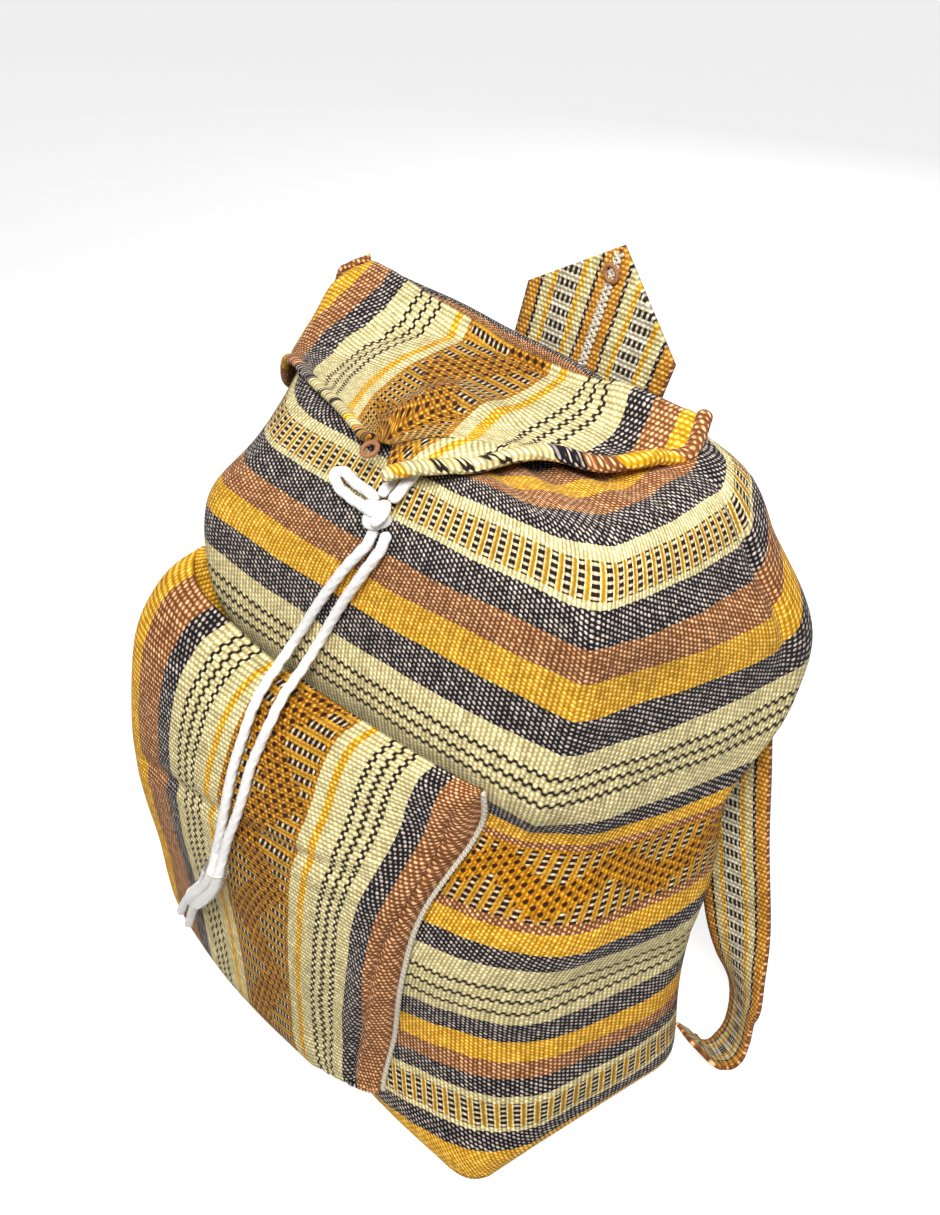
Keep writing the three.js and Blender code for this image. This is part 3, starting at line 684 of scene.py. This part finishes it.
slot_centre, slot_height, slot_half, slot_round = 10.0, 380.0, 10.5, 4.2
slot_from, slot_to = 8, 22.6
middle = (body_grid[:-1] + np.roll(body_grid, -1, 1)[1:]) / 2
in_slot = (np.abs(middle[..., 0] - slot_centre) < slot_half) & (t_grid[:-1] < 12 / last_station)
in_slot &= np.abs(middle[..., 2] - slot_height) < slot_round
in_slot &= (middle[..., 1] > slot_from) & (middle[..., 1] < slot_to)
body = cloth_object("body_cloth", body_grid, body_cloth, wrap=True, keep=~in_slot)
stands_for(body, ["body"], striped_cloth, body_thickness)
print("faces left out for the slot", int(in_slot.sum()))

# %% [markdown]
# ## The base
# The base is a flat panel with the outline of the tube's lower edge, sewn on all round. A polar grid,
# rings from the middle to that outline, keeps its edge exactly under the body's.

# %% Base
rim = body_point(np.linspace(0, 4, 200, endpoint=False), 0.0)
rim_share = np.linspace(0, 1, 24)[:, None, None]
base_height, base_thickness = 1.2, 2.4
base_centre = np.array([0.0, 0.0, base_height])
base_grid = (base_centre + rim_share * (rim * (1, 1, 0) + (0, 0, base_height) - base_centre))[::-1]
base_flat = np.concatenate([base_grid, base_grid[:, :1]], axis=1)[..., :2]
base = cloth_object("base_cloth_panel", base_grid, base_flat, wrap=True)
stands_for(base, ["base_panel"], base_cloth, base_thickness)
print("base", base_grid.shape)

# %% [markdown]
# ## What the flap rests on
# The flap lies on the crown. Its height over a point of the plan is the highest point of the body's
# upper surface there, found for all points at once from the body's triangles: a point is in a triangle
# where its three weights are all positive, and the same weights give the height.

# %% Height of the crown
rest_lift, rest_count = 3.0, 50
rest_steps = (2, 4, 3, 2, 2, 2, 1)
rest_spans = [np.linspace(7 + k, 8 + k, n, endpoint=False) for k, n in enumerate(rest_steps)]
rest_t = np.concatenate([*rest_spans, [14]])
rest_sides = np.arange(rest_count) * 4 / rest_count
rest = on_body(rest_sides[None, :], rest_t[:, None] / last_station, rest_lift)
step_round = np.roll(rest, -1, 1)
triangles = np.concatenate([np.stack([rest[:-1], step_round[:-1], step_round[1:]], 2).reshape(-1, 3, 3),
                            np.stack([rest[:-1], step_round[1:], rest[1:]], 2).reshape(-1, 3, 3)])


def height_over(plan):
    """The highest triangle over each point of the plan, by weights in the triangle's own corners."""
    p, q, r = triangles[:, 0], triangles[:, 1], triangles[:, 2]
    area = (q - p)[:, 0] * (r - p)[:, 1] - (r - p)[:, 0] * (q - p)[:, 1]
    dx, dy = plan[:, None, 0] - p[None, :, 0], plan[:, None, 1] - p[None, :, 1]
    second = (dx * (r - p)[:, 1] - (r - p)[:, 0] * dy) / area
    third = ((q - p)[:, 0] * dy - dx * (q - p)[:, 1]) / area
    inside = (second >= 0) & (third >= 0) & (second + third <= 1)
    height = p[:, 2] + second * (q - p)[:, 2] + third * (r - p)[:, 2]
    return np.where(inside, height, 0).max(axis=1)


print("triangles under the flap", len(triangles))


# %% [markdown]
# ## The flap
# The flap is a pointed sheet, sewn to the back ridge. It follows the crown, bridges the mouth, and
# lifts over the cords. Its free edges are rolled into a hem. It is worked out on a coarse grid and then
# refined with rails in both directions, which gives it the slow curves of heavy cloth.

# %% Flap surface
flap_back, flap_tip, flap_shift, flap_half = 75.0, -20.0, -18.0, 116.0
flap_rows, flap_columns, fine_rows, fine_columns, flap_thickness = 18, 30, 110, 170, 1.8
bridge_rise, lip_rise, cord_rise, fold_rise = 3, 3, 6, 7
left_edge = [(flap_shift - flap_half + 9, flap_back - 5), (flap_shift - flap_half - 2, flap_back - 28),
             (flap_shift - flap_half + 13, flap_back - 64), (flap_shift / 2 - 46, flap_tip + 13),
             (-6, flap_tip)]
right_edge = [(flap_shift + flap_half - 14, flap_back - 6), (flap_shift + flap_half - 8, flap_back - 20),
              (flap_shift + flap_half - 10, flap_back - 42), (flap_shift / 2 + 60, flap_tip + 34),
              (6, flap_tip + 2)]


def flap_points(u, v):
    """Left and right edges joined straight across in plan, at the height that the cloth rests at."""
    plan = rail(left_edge, v) * (1 - u)[..., None] + rail(right_edge, v) * u[..., None]
    x, y = plan[..., 0], plan[..., 1]
    nudge_x, nudge_y = flap_half / flap_columns, 0.5 * (flap_back - flap_tip) / flap_rows
    nudged = [np.stack([x + a * nudge_x, y + b * nudge_y], -1).reshape(-1, 2)
              for a, b in ((0, 0), (1, 1), (-1, 1), (-1, -1), (1, -1))]
    resting = np.max([height_over(place) for place in nudged], axis=0).reshape(x.shape)
    off_mouth = np.hypot(x / (mouth_width * 0.7), (y - mouth_centre) / (mouth_depth * 0.9))
    bridge = hem_top + rest_lift + bridge_rise * (1 - off_mouth ** 4)
    lip = lip_rise * smooth(u, 0.84, 1) * between(v, 0.3, 0.55, 0.8, 1)
    over_cord = cord_rise * (1 - smooth(np.abs(x - slot_centre), 12.5, 29)) * (1 - smooth(y, 16, 38))
    fold = fold_rise * smooth(u, 0.62, 0.9) * (1 - smooth(v, 0.08, 0.3))
    z = np.maximum(resting, bridge) + np.maximum(lip, over_cord) + fold
    return np.stack([x, y, z], -1)


def refine(grid, rows, columns):
    """A finer grid on the same surface: rails down it, then rails across it."""
    down = rail(grid, np.linspace(0, 1, rows))
    return rail(down.swapaxes(0, 1), np.linspace(0, 1, columns)).swapaxes(0, 1)


def edge_strip(edge, turn_side, reach, radius, steps=9, turns=12):
    """A free edge carried on outwards and down by its reach, then curled up into a rolled hem."""
    ahead = unit(np.gradient(edge, axis=0) * (1, 1, 0))
    outward = turn_side * np.stack([-ahead[:, 1], ahead[:, 0], 0 * ahead[:, 0]], -1)
    share = np.linspace(0, 1, steps)[None, 1:, None]
    reach = reach[:, :, None]
    apron = edge[:, None] + share * reach * outward[:, None] - (0, 0, 0.45) * reach * share ** 2
    turn = np.linspace(0, 1.5 * np.pi, turns)[None, 1:, None]
    curl = radius * (np.sin(turn) * outward[:, None] + (1 - np.cos(turn)) * np.array([0, 0, 1.0]))
    return np.concatenate([apron, apron[:, -1:] + curl], axis=1)


coarse_u, coarse_v = np.meshgrid(np.linspace(0, 1, flap_columns + 1), np.linspace(0, 1, flap_rows + 1))
flap_sheet = refine(flap_points(coarse_u, coarse_v), fine_rows, fine_columns) + (0, 0, 0.5)
flap_share = np.linspace(0, 1, fine_rows)[:, None]
right_reach = 8 * (1 - smooth(flap_share, 0.22, 0.38)) + 15 * smooth(flap_share, 0.66, 0.92) + 0.5
left_hem = edge_strip(flap_sheet[:, 0], -1, 0 * flap_share + 0.5, 1.6)[:, ::-1]
right_hem = edge_strip(flap_sheet[:, -1], 1, right_reach, 2.5)
flap_grid = np.concatenate([left_hem, flap_sheet, right_hem], axis=1)
flap_run = lengths(flap_grid, 1)
inner = slice(left_hem.shape[1] + 1, -right_hem.shape[1] - 1)
stripe_middle = flap_shift * (1 - flap_share[:, 0])
flap_middle = np.array([np.interp(x, row[inner, 0], run[inner])
                        for x, row, run in zip(stripe_middle, flap_grid, flap_run)])
flap_flat = np.stack([lengths(flap_grid, 0), flap_run - flap_middle[:, None]], -1)
flap = cloth_object("flap_cloth_sheet", flap_grid[:, ::-1], flap_flat[:, ::-1])
stands_for(flap, ["flap"], flap_cloth, flap_thickness)
print("flap", flap_grid.shape, "height", flap_grid[..., 2].min().round(1), flap_grid[..., 2].max().round(1))

# %% [markdown]
# ## The front pocket
# The pocket is a bellows pocket with an elastic top: it stands off the body by its depth, and its edges
# lie on the body's cloth. Two profiles say how full it is across and up.

# %% Pocket surface
across_profile = [(0, 0), (-0.005, 0.4), (0, 0.8), (0.05, 1), (0.25, 0.98), (0.5, 0.84), (0.75, 0.6),
                  (0.93, 0.4), (1, 0.2), (1, 0)]
up_profile = [(0.05, 0), (0.03, 0.5), (0.05, 0.92), (0.22, 1), (0.42, 1), (0.62, 1), (0.78, 0.92),
              (0.92, 0.74), (0.985, 0.42), (1.0, 0.06)]
pocket_height, pocket_front, pocket_seat, pocket_thickness = 258.0, 112.0, 2.65, 1.8
pocket_mid, front_fold, side_fold = 0.62, 4.5, 3.2


def pocket_points(u, v):
    """A point seated on the body, pulled forward by the product of the two fullnesses."""
    share, full_across = np.moveaxis(rail(across_profile, u), -1, 0)
    rise, full_up = np.moveaxis(rail(up_profile, v), -1, 0)
    sweep = 58 * np.maximum(0, 1 - share / 0.45) ** 2 + 32 * smooth(share, 0.5, 1)
    puff = 13 * np.maximum(0, 1 - share / 0.4) * smooth(v, 0.7, 1)
    z = rise * pocket_height + sweep * (1 - smooth(v, 0.1, 0.5)) + puff
    t = wall_share(z)
    corners = rail(stations, t)
    left, right = corners[..., 3, 0], corners[..., 0, 0]
    right_side = 3 + (70 + 11 * rise - left) / (right - left)
    seat = on_body(2.9 + (right_side - 2.9) * np.maximum(share, 0), t, pocket_seat)
    full = np.maximum(0, full_across) * np.maximum(0, full_up)
    seat[..., 1] += (-pocket_front - seat[..., 1]) * full
    seat[..., 0] -= 8 * np.maximum(0, 1 - share / 0.3) * np.maximum(0, full_across) * smooth(v, 0.4, 0.75)
    return seat


def pocket_folds(u, v):
    """Valleys where the slack cloth bends: one across the front, one down beside the right seam."""
    below = 0.588 + 0.18 * (u - 0.417) - v
    across = bell(below, 0.018) + 0.7 * between(below, 0, 0.05, 0.12, 0.3)
    valley = np.interp(v, (0.1, 0.294, 0.496, 0.605, 0.773, 0.9), (0.77, 0.784, 0.827, 0.872, 0.85, 0.84))
    beside = bell(u - valley, 0.014) + 0.6 * bell(u - valley + 0.075, 0.02)
    slack = 1.0 + np.sin(14 * u + 9 * v) * np.sin(6 * u - 17 * v + 1)
    middle = between(u, 0.05, 0.2, 0.85, 0.97) * between(v, 0.1, 0.25, 0.8, 0.95)
    return (-front_fold * across * between(u, 0.3, 0.42, 0.7, 0.8)
            - side_fold * beside * between(v, 0.12, 0.25, 0.75, 0.88) - slack * middle)


pocket_v, pocket_u = np.meshgrid(np.linspace(0, 1, 120), np.linspace(0, 1, 140), indexing="ij")
pocket_grid = pocket_points(pocket_u, pocket_v)
pocket_out = unit(np.cross(np.gradient(pocket_grid, axis=1), np.gradient(pocket_grid, axis=0)))
pocket_grid = pocket_grid + pocket_out * pocket_folds(pocket_u, pocket_v)[..., None]
pocket_up, pocket_width = lengths(pocket_grid, 0), lengths(pocket_grid, 1).mean(axis=0)
pocket_flat = paired(pocket_up.mean(axis=1)[:, None], (pocket_width - pocket_mid * pocket_width[-1])[None, :])
pocket = cloth_object("front_pocket_cloth", pocket_grid, pocket_flat)
stands_for(pocket, ["front_pocket"], pocket_cloth, pocket_thickness)
print("pocket", pocket_grid.shape, "flat", pocket_width[-1].round(), "by", pocket_up[-1].mean().round(), "mm")

# %% [markdown]
# ## Tubes
# Cords and seams are round profiles carried along a path. The profile's two directions are turned from
# one ring to the next by the least turn that keeps them square to the path, so a cord doesn't twist at
# its bends.


# %% Tubes
def route(places, count):
    """A smooth line through uneven places, with knots spaced by the root of their distance."""
    ends = with_ends(places)
    gap = np.sqrt(np.linalg.norm(np.diff(ends, axis=0), axis=1))[:, None]
    spot = np.linspace(0, len(places) - 1, count)
    span = np.minimum(spot.astype(int), len(places) - 2)
    a, b, c, d = (ends[span + k] for k in range(4))
    before, here, after = gap[span], gap[span + 1], gap[span + 2]
    first = ((b - a) / before - (c - a) / (before + here) + (c - b) / here) * here
    second = ((c - b) / here - (d - b) / (here + after) + (d - c) / after) * here
    s = (spot - span)[:, None]
    line = b + s * (first + s * (3 * (c - b) - 2 * first - second + s * (2 * (b - c) + first + second)))
    run = lengths(line, 0)
    even = np.linspace(0, run[-1], count)
    return np.stack([np.interp(even, run, line[:, k]) for k in range(3)], -1)


def frames(line):
    """Two directions square to a path at each of its places, carried on with the least turn."""
    ahead = unit(np.gradient(line, axis=0))
    side = np.zeros_like(line)
    side[0] = unit(np.cross(ahead[0], np.eye(3)[np.argmin(np.abs(ahead[0]))]))
    for k in range(1, len(line)):
        side[k] = unit(side[k - 1] - ahead[k] * (side[k - 1] @ ahead[k]))
    return side, np.cross(ahead, side)


def tube_object(name, line, radius, sides=20, relief=None, closed_ends=True):
    """A tube round a path. relief(angle, distance) scales its radius; its ends are rounded off."""
    side, up = frames(line)
    run = lengths(line, 0)[:, None]
    angle = np.linspace(0, 2 * np.pi, sides, endpoint=False)[None, :]
    swell = np.ones((len(line), sides)) if relief is None else relief(angle, run)
    if closed_ends:
        near_end = np.clip(np.minimum(run, run[-1] - run) / radius, 0, 1)
        swell = swell * np.sqrt(1 - (1 - near_end) ** 2)
    spoke = np.cos(angle)[..., None] * side[:, None] + np.sin(angle)[..., None] * up[:, None]
    grid = line[:, None] + radius * swell[..., None] * spoke
    flat = paired(run, np.linspace(0, 2 * np.pi * radius, sides + 1)[None, :])
    return cloth_object(name, grid, flat, wrap=True)


def thread_material(name, colour, second, roughness, strength, pitch):
    """Twisted thread: slanting lines of light and shade along a tube, in its own UV map."""
    material, tree, shader = new_material(name, {"Roughness": roughness})
    place, along, across = cloth_place(tree)
    strand = ((along * (1 / pitch) + across * (0.6 / pitch)) * (2 * np.pi)).apply("SINE") * 0.5 + 0.5
    factor = strand * 0.7 + soft_noise(tree, place, 900) * 0.3
    feed(tree, blend_colours(tree, factor, second, colour), shader.inputs["Base Color"])
    emboss(tree, shader, factor, strength, 0.0004)
    return material


white_cord, seam_thread, eyelet_thread = (thread_material(*finish) for finish in (
    ("white_cord", paint(250, 249, 246), paint(206, 204, 202), 0.55, 0.5, 1.1),
    ("seam_thread", paint(222, 214, 196), paint(150, 140, 120), 0.8, 0.6, 1.6),
    ("eyelet_thread", paint(170, 116, 76), paint(112, 68, 40), 0.75, 0.6, 0.9)))
print("threads", [material.name for material in (white_cord, seam_thread, eyelet_thread)])

# %% [markdown]
# ## The drawstring
# One white braided cord runs round the mouth inside its casing, comes out of the slot as two strands,
# is knotted in a bow, and its two tails hang down over the pocket, through a clear sleeve that holds
# them together. The cord is five millimetres thick, and the braid is in its surface: two sets of
# strands that wind opposite ways and pass over each other in turn.

# %% Cord routes
strand_right = [(17, -29.4, 369), (18, -21, 375.6), (17.8, -13.5, 380.9), (17.4, -5, 383.4), (16, 4, 383.6),
                (14.4, 12, 382.6)]
strand_left = [(4.6, 12, 382), (5, 4, 382.6), (6.2, -5, 383.6), (7.6, -13.5, 380.8), (9.2, -21, 375.2),
               (11, -29.7, 368.8)]
bow_loop = [(7.2, -33.5, 362), (2, -32.3, 360.6), (-10, -32, 360.4), (-18, -31.2, 361.2),
            (-22.6, -29.6, 364.4), (-18, -27.6, 367), (-10, -28.4, 366), (2, -28.7, 366), (8, -29.9, 365.6)]
tail_left = [(12.3, -34.8, 356.4), (11.9, -37.8, 350.8), (0, -43, 333), (-16, -48.3, 307), (-26, -52.3, 288),
             (-31, -56.3, 277), (-29, -66.3, 271), (-26.5, -76.3, 265.5), (-25.5, -83.8, 257.5),
             (-27, -90.9, 241.5), (-29.4, -97.3, 223.5), (-31, -103.7, 202), (-34, -108.3, 181),
             (-36.6, -110.9, 168), (-36.7, -114.3, 158.6), (-39, -117.5, 148), (-46.2, -119, 136.1),
             (-55.2, -120, 123.6), (-69, -120.5, 104), (-84, -120.5, 78)]
tail_right = [(20.2, -34, 358.2), (20, -37, 352), (11.6, -41.6, 336), (-2.6, -45.3, 312),
              (-14.4, -51.3, 286.5), (-17.5, -60.3, 273), (-14, -73.3, 267), (-13, -83.3, 255.5),
              (-16.8, -88.3, 241.3),
              (-19.5, -93.5, 227.7), (-20.8, -98.1, 213.8), (-23.7, -103.3, 197), (-27.5, -107.8, 181.5),
              (-30.4, -111.1, 167), (-31, -114.5, 157.4), (-34, -117.5, 146), (-41.8, -119, 132.9),
              (-50.8, -120, 120.4), (-65, -119.5, 99), (-79, -119.5, 70)]
sleeve_path = [(-34, -114.3, 158), (-36.5, -117.5, 147), (-44, -119, 134.5), (-53, -120, 122)]
casing_sides = np.linspace(3.8, 7.52, 17)
casing_run = (body_point(casing_sides, 11 / last_station) + body_point(casing_sides, 13 / last_station)) / 2
cord_radius, casing_floor = 2.5, 1.8
casing_run[:, 2] = hem_top - cord_radius - casing_floor


def braid(angle, run):
    """Two families of three strands wind opposite ways; where one is high it lies on top."""
    turn = run / 9.0 * 2 * np.pi
    return 0.93 + 0.09 * np.maximum(np.cos(3 * angle + turn), np.cos(3 * angle - turn))


round_mouth = [*strand_right, *casing_run.tolist(), *strand_left]
for name, node, places, count, far_end, lay in (
        ("drawstring_cord", "drawstring", round_mouth, 480, "knot", "taut"),
        ("bow_cord", "drawstring_bow", bow_loop, 100, "knot", "loose"),
        ("tail_left_cord", "drawstring_tail_left", tail_left, 400, "bare", "hanging"),
        ("tail_right_cord", "drawstring_tail_right", tail_right, 400, "bare", "hanging")):
    line = route(places, count)
    cord = tube_object(name, line, cord_radius, relief=braid)
    stands_for(cord, [node], white_cord)
    length = float(lengths(line, 0)[-1]) * 0.001
    print(name, round(length * 1000), "mm")

# %% [markdown]
# ## Knot and sleeve
# The knot is a ball of cord drawn tight: a trefoil line, which winds three times through its own middle.
# The sleeve is a short clear tube, shrunk on where the two tails run side by side.

# %% Knot and sleeve
knot_centre, knot_scale = np.array([14.2, -34.7, 364.2]), 1.7
sleeve_radius, sleeve_thickness = 6.4, 0.7
turn = np.linspace(0, 2 * np.pi, 161)
trefoil = np.stack([np.sin(turn) + 2 * np.sin(2 * turn), -1.9 * np.sin(3 * turn),
                    np.cos(turn) - 2 * np.cos(2 * turn)], -1) * knot_scale + knot_centre
stands_for(tube_object("knot_cord", trefoil, cord_radius, relief=braid), ["drawstring_knot"],
           white_cord)

clear_sleeve = new_material("clear_sleeve", {"Base Color": paint(244, 243, 240), "Roughness": 0.18,
                                             "Transmission Weight": 0.9, "IOR": 1.2})[0]
sleeve_line = route(sleeve_path, 60)
sleeve = tube_object("clear_sleeve_tube", sleeve_line, sleeve_radius, sides=40, closed_ends=False)
stands_for(sleeve, ["cord_end_sleeve"], clear_sleeve, sleeve_thickness)
print("knot and sleeve", round(lengths(sleeve_line, 0)[-1]), "mm")

# %% [markdown]
# ## Straps
# Each strap is a woven band. Its upper end stands up behind the flap, cut to a slant and sewn to its
# twin. Below, it lies on the bag's back, swings out as a handle, and closes on the lower rear corner.
# A band is a line, a direction across it and a width at every place.

# %% Strap surface
strap_width, strap_seat, strap_thickness, tab_point = 46.0, 3.25, 2.0, 66.0
tab_foot, tab_way = np.array([7, 91, crown_height - 8]), unit(np.array([0.3, 0, 1.0]))
free_places = [(99, 119, 232, 1, 0, 0.35), (110, 113, 204, 1, 0, 0.25), (123, 105, 162, 1, 0, 0.25),
               (140, 98, 112, 1, -0.05, 0.3), (153, 91, 82, 0.85, -0.3, 0.4), (161, 88, 63, 0.65, -0.5, 0.6),
               (167, 79, 50, 0.6, -0.52, 0.62), (168, 70, 43, 0.6, -0.52, 0.62),
               (164, 63, 41, 0.5, -0.55, 0.67), (156.5, 59, 46, 0.2, -0.6, 0.77)]


def strap_grid(sign, shoulder, rows=220, columns=13):
    """The band of one strap, from the mitred tab down to its folded end, and its flat places."""
    foot = tab_foot + (sign * (strap_width / 2 + 0.175), 0, 0)
    seat_share = np.linspace(0, 1, 6)
    seat_side = 1.39 - 0.16 * seat_share
    seat_side = seat_side if sign > 0 else 3 - seat_side
    seat_t = wall_share(shoulder_height - 14 + (at_height(0.74) - shoulder_height + 14) * seat_share)
    free = np.array(free_places) * (sign, 1, 1, 1, sign, sign)
    end = on_body(0.93 if sign > 0 else 2.07, wall_share(46.0), strap_seat + 1.2)
    free = np.vstack([free, [*end, 0.25, sign * -0.55, sign * 0.8]])
    places = np.concatenate([[foot + tab_point * tab_way, foot], on_body(seat_side, seat_t, strap_seat),
                             free[:, :3]])
    spans = len(places) - 1

    def tangent(t):
        return unit(rail(places, np.clip(t + 1e-4, 0, 1)) - rail(places, np.clip(t - 1e-4, 0, 1)))

    seated = unit(np.cross(tangent(np.arange(2, 8) / spans), body_normal(seat_side, seat_t)))
    across_places = np.concatenate([[[1, 0, 0], [1, 0, 0]], seated, unit(free[:, 3:])])
    t = np.concatenate([np.linspace(0, 1, 40, endpoint=False), np.linspace(1, spans, rows)]) / spans
    centre, across, ahead = rail(places, t), rail(across_places, t), tangent(t)
    straight = t < 1 / spans
    centre[straight] = foot + tab_way * tab_point * (1 - t[straight] * spans)[:, None]
    square = across - ahead * (across * ahead).sum(-1, keepdims=True)
    across = unit(np.where((t * spans <= 1.001)[:, None], (1.0, 0, 0), square))
    width = strap_width * (1 - 0.5 * smooth(t, 0.84, 1))
    share = np.linspace(0, 1, columns)
    grid = centre[:, None] + across[:, None] * ((share - 0.5)[None, :] * width[:, None])[..., None]
    to_middle = share if sign > 0 else 1 - share
    cut = (1 - t * spans).clip(0, 1)[:, None] * (shoulder - tab_point) * to_middle[None, :]
    flat = paired(lengths(centre, 0)[:, None] - cut, ((share - 0.5) * strap_width * sign)[None, :])
    return grid + cut[..., None] * tab_way, flat


for sign, hand, shoulder_rise in ((-1, "left", 33.0), (1, "right", 22.0)):
    band_grid, band_flat = strap_grid(sign, shoulder_rise)
    strap = cloth_object(f"{hand}_strap_band", band_grid, band_flat)
    stands_for(strap, [f"strap_{hand}"], strap_band, strap_thickness)

# %% [markdown]
# ## Seams and eyelets
# The tab's two halves meet under a white zigzag, and the pocket's side is bound by an overlock: a
# rounded edge of thread. The eyelets are worked by hand: thread wound round a ring.

# %% Zigzag, overlock and eyelets
zig_run = np.linspace(2, tab_point - 3, 300)
zig_half, zig_pitch = 2.1, 6.4
zig_offset = zig_half * (2 / np.pi) * np.arcsin(np.sin(zig_run * 2 * np.pi / zig_pitch))
for name, way, lift in (("tab_seam_over", 1, 2.0), ("tab_seam_under", -1, 1.7)):
    offset = np.stack([way * zig_offset, 0 * zig_run - lift, 0 * zig_run], -1)
    zigzag = tube_object(name, tab_foot + zig_run[:, None] * tab_way + offset, 0.8, sides=8)
    stands_for(zigzag, [], seam_thread)

edge_line = pocket_grid[:, -3] * 0.35 + pocket_grid[:, -1] * 0.65 + (2.0, 0, 0)
overlock = tube_object("pocket_overlock", route(edge_line[::6], 420), 1.6, sides=12,
                       relief=lambda angle, run: 0.85 + 0.15 * np.cos(2 * np.pi * run / 2.6 + angle))
stands_for(overlock, [], seam_thread)
eye_radius, eye_thread, eye_winds, eye_lift = 3.6, 1.1, 26, 0.35


def eyelet_object(name, node, centre, normal):
    """A ring with a wound surface: turns of thread side by side."""
    theta = np.linspace(0, 2 * np.pi, 105)[:-1, None]
    phi = np.linspace(0, 2 * np.pi, 17)[None, :-1]
    normal = unit(np.asarray(normal, float))
    side = unit(np.cross(normal, (1.0, 0, 0)))
    thick = eye_thread * (0.9 + 0.1 * np.cos(eye_winds * theta + phi))
    spoke = np.cos(theta)[..., None] * side + np.sin(theta)[..., None] * np.cross(normal, side)
    away, rise = eye_radius + thick * np.cos(phi), thick * np.sin(phi)
    grid = centre + away[..., None] * spoke + rise[..., None] * normal
    flat = paired(np.linspace(0, 2 * np.pi * eye_radius, 105)[:, None],
                  np.linspace(0, 2 * np.pi * eye_thread, 17)[None, :])
    piece = cloth_object(name, np.concatenate([grid, grid[:1]]), flat, wrap=True)
    stands_for(piece, [node], eyelet_thread)


tab_eye = tab_foot + (tab_point - 13) * tab_way - (0, 1.2 + eye_thread + eye_lift, 0)
flap_eye = flap_points(np.array([0.3]), np.array([1.0]))[0] + (0, -3.6 - eye_thread - eye_lift, -1.1)
eyelet_object("tab_eyelet_ring", "tab_eyelet", tab_eye, (0, -1, 0))
eyelet_object("flap_eyelet_ring", "flap_eyelet", flap_eye, (0, -0.5, 1))
print("eyelets at", tab_eye.round(1).tolist(), flap_eye.round(1).tolist())

# %% [markdown]
# ## Studio
# A pale floor and plain light. The key lamp is small enough to show the ribs, the fill and the rear
# lamp are large and soft, and the sky is white to the camera and dim to the cloth.

# %% Studio
floor_half, floor_drop = 6, -0.0006
floor_mesh = bpy.data.meshes.new("floor")
floor_mesh.from_pydata([(x * floor_half, y * floor_half, floor_drop) for x, y in
                        ((-1, -1), (1, -1), (1, 1), (-1, 1))], [], [(0, 1, 2, 3)])
floor = add_object("floor", floor_mesh)


def seen_directly(tree):
    """1 for rays that come from the camera, straight or through gloss or glass, and 0 for soft light."""
    path = add_node(tree, "LightPath")
    camera_ray, glossy, through = (Field(tree, path.outputs[name]) for name in
                                   ("Is Camera Ray", "Is Glossy Ray", "Is Transmission Ray"))
    return (camera_ray + glossy + through).apply("MINIMUM", 1)


floor_paint, floor_tree, floor_shader = new_material("floor_paint", {
    "Base Color": (0.5, 0.5, 0.5, 1), "Roughness": 0.9, "Emission Color": (1, 1, 1, 1)})
feed(floor_tree, seen_directly(floor_tree) * 0.7, floor_shader.inputs["Emission Strength"])
floor.data.materials.append(floor_paint)

world = bpy.data.worlds.new("studio")
world.use_nodes = True
bpy.context.scene.world = world
sky = world.node_tree.nodes["Background"]
feed(world.node_tree, (1, 1, 1, 1), sky.inputs["Color"])
feed(world.node_tree, seen_directly(world.node_tree) * 0.82 + 0.2, sky.inputs["Strength"])

for name, place, aim, power, size in (("key", (0.42, -0.36, 1.0), (0.05, 0, 0.25), 13.6, 0.3),
                                      ("fill", (-0.7, -1.4, 1.4), (0, 0, 0.2), 5, 1.0),
                                      ("rear", (-0.6, 1.4, 0.9), (0, 0, 0.2), 8, 1.0)):
    lamp = bpy.data.lights.new(name, "AREA")
    lamp.energy, lamp.size = power, size
    add_object(name, lamp, place, aim)
bpy.context.scene.view_settings.view_transform = "Standard"
print("lamps", [light.name for light in bpy.data.lights])
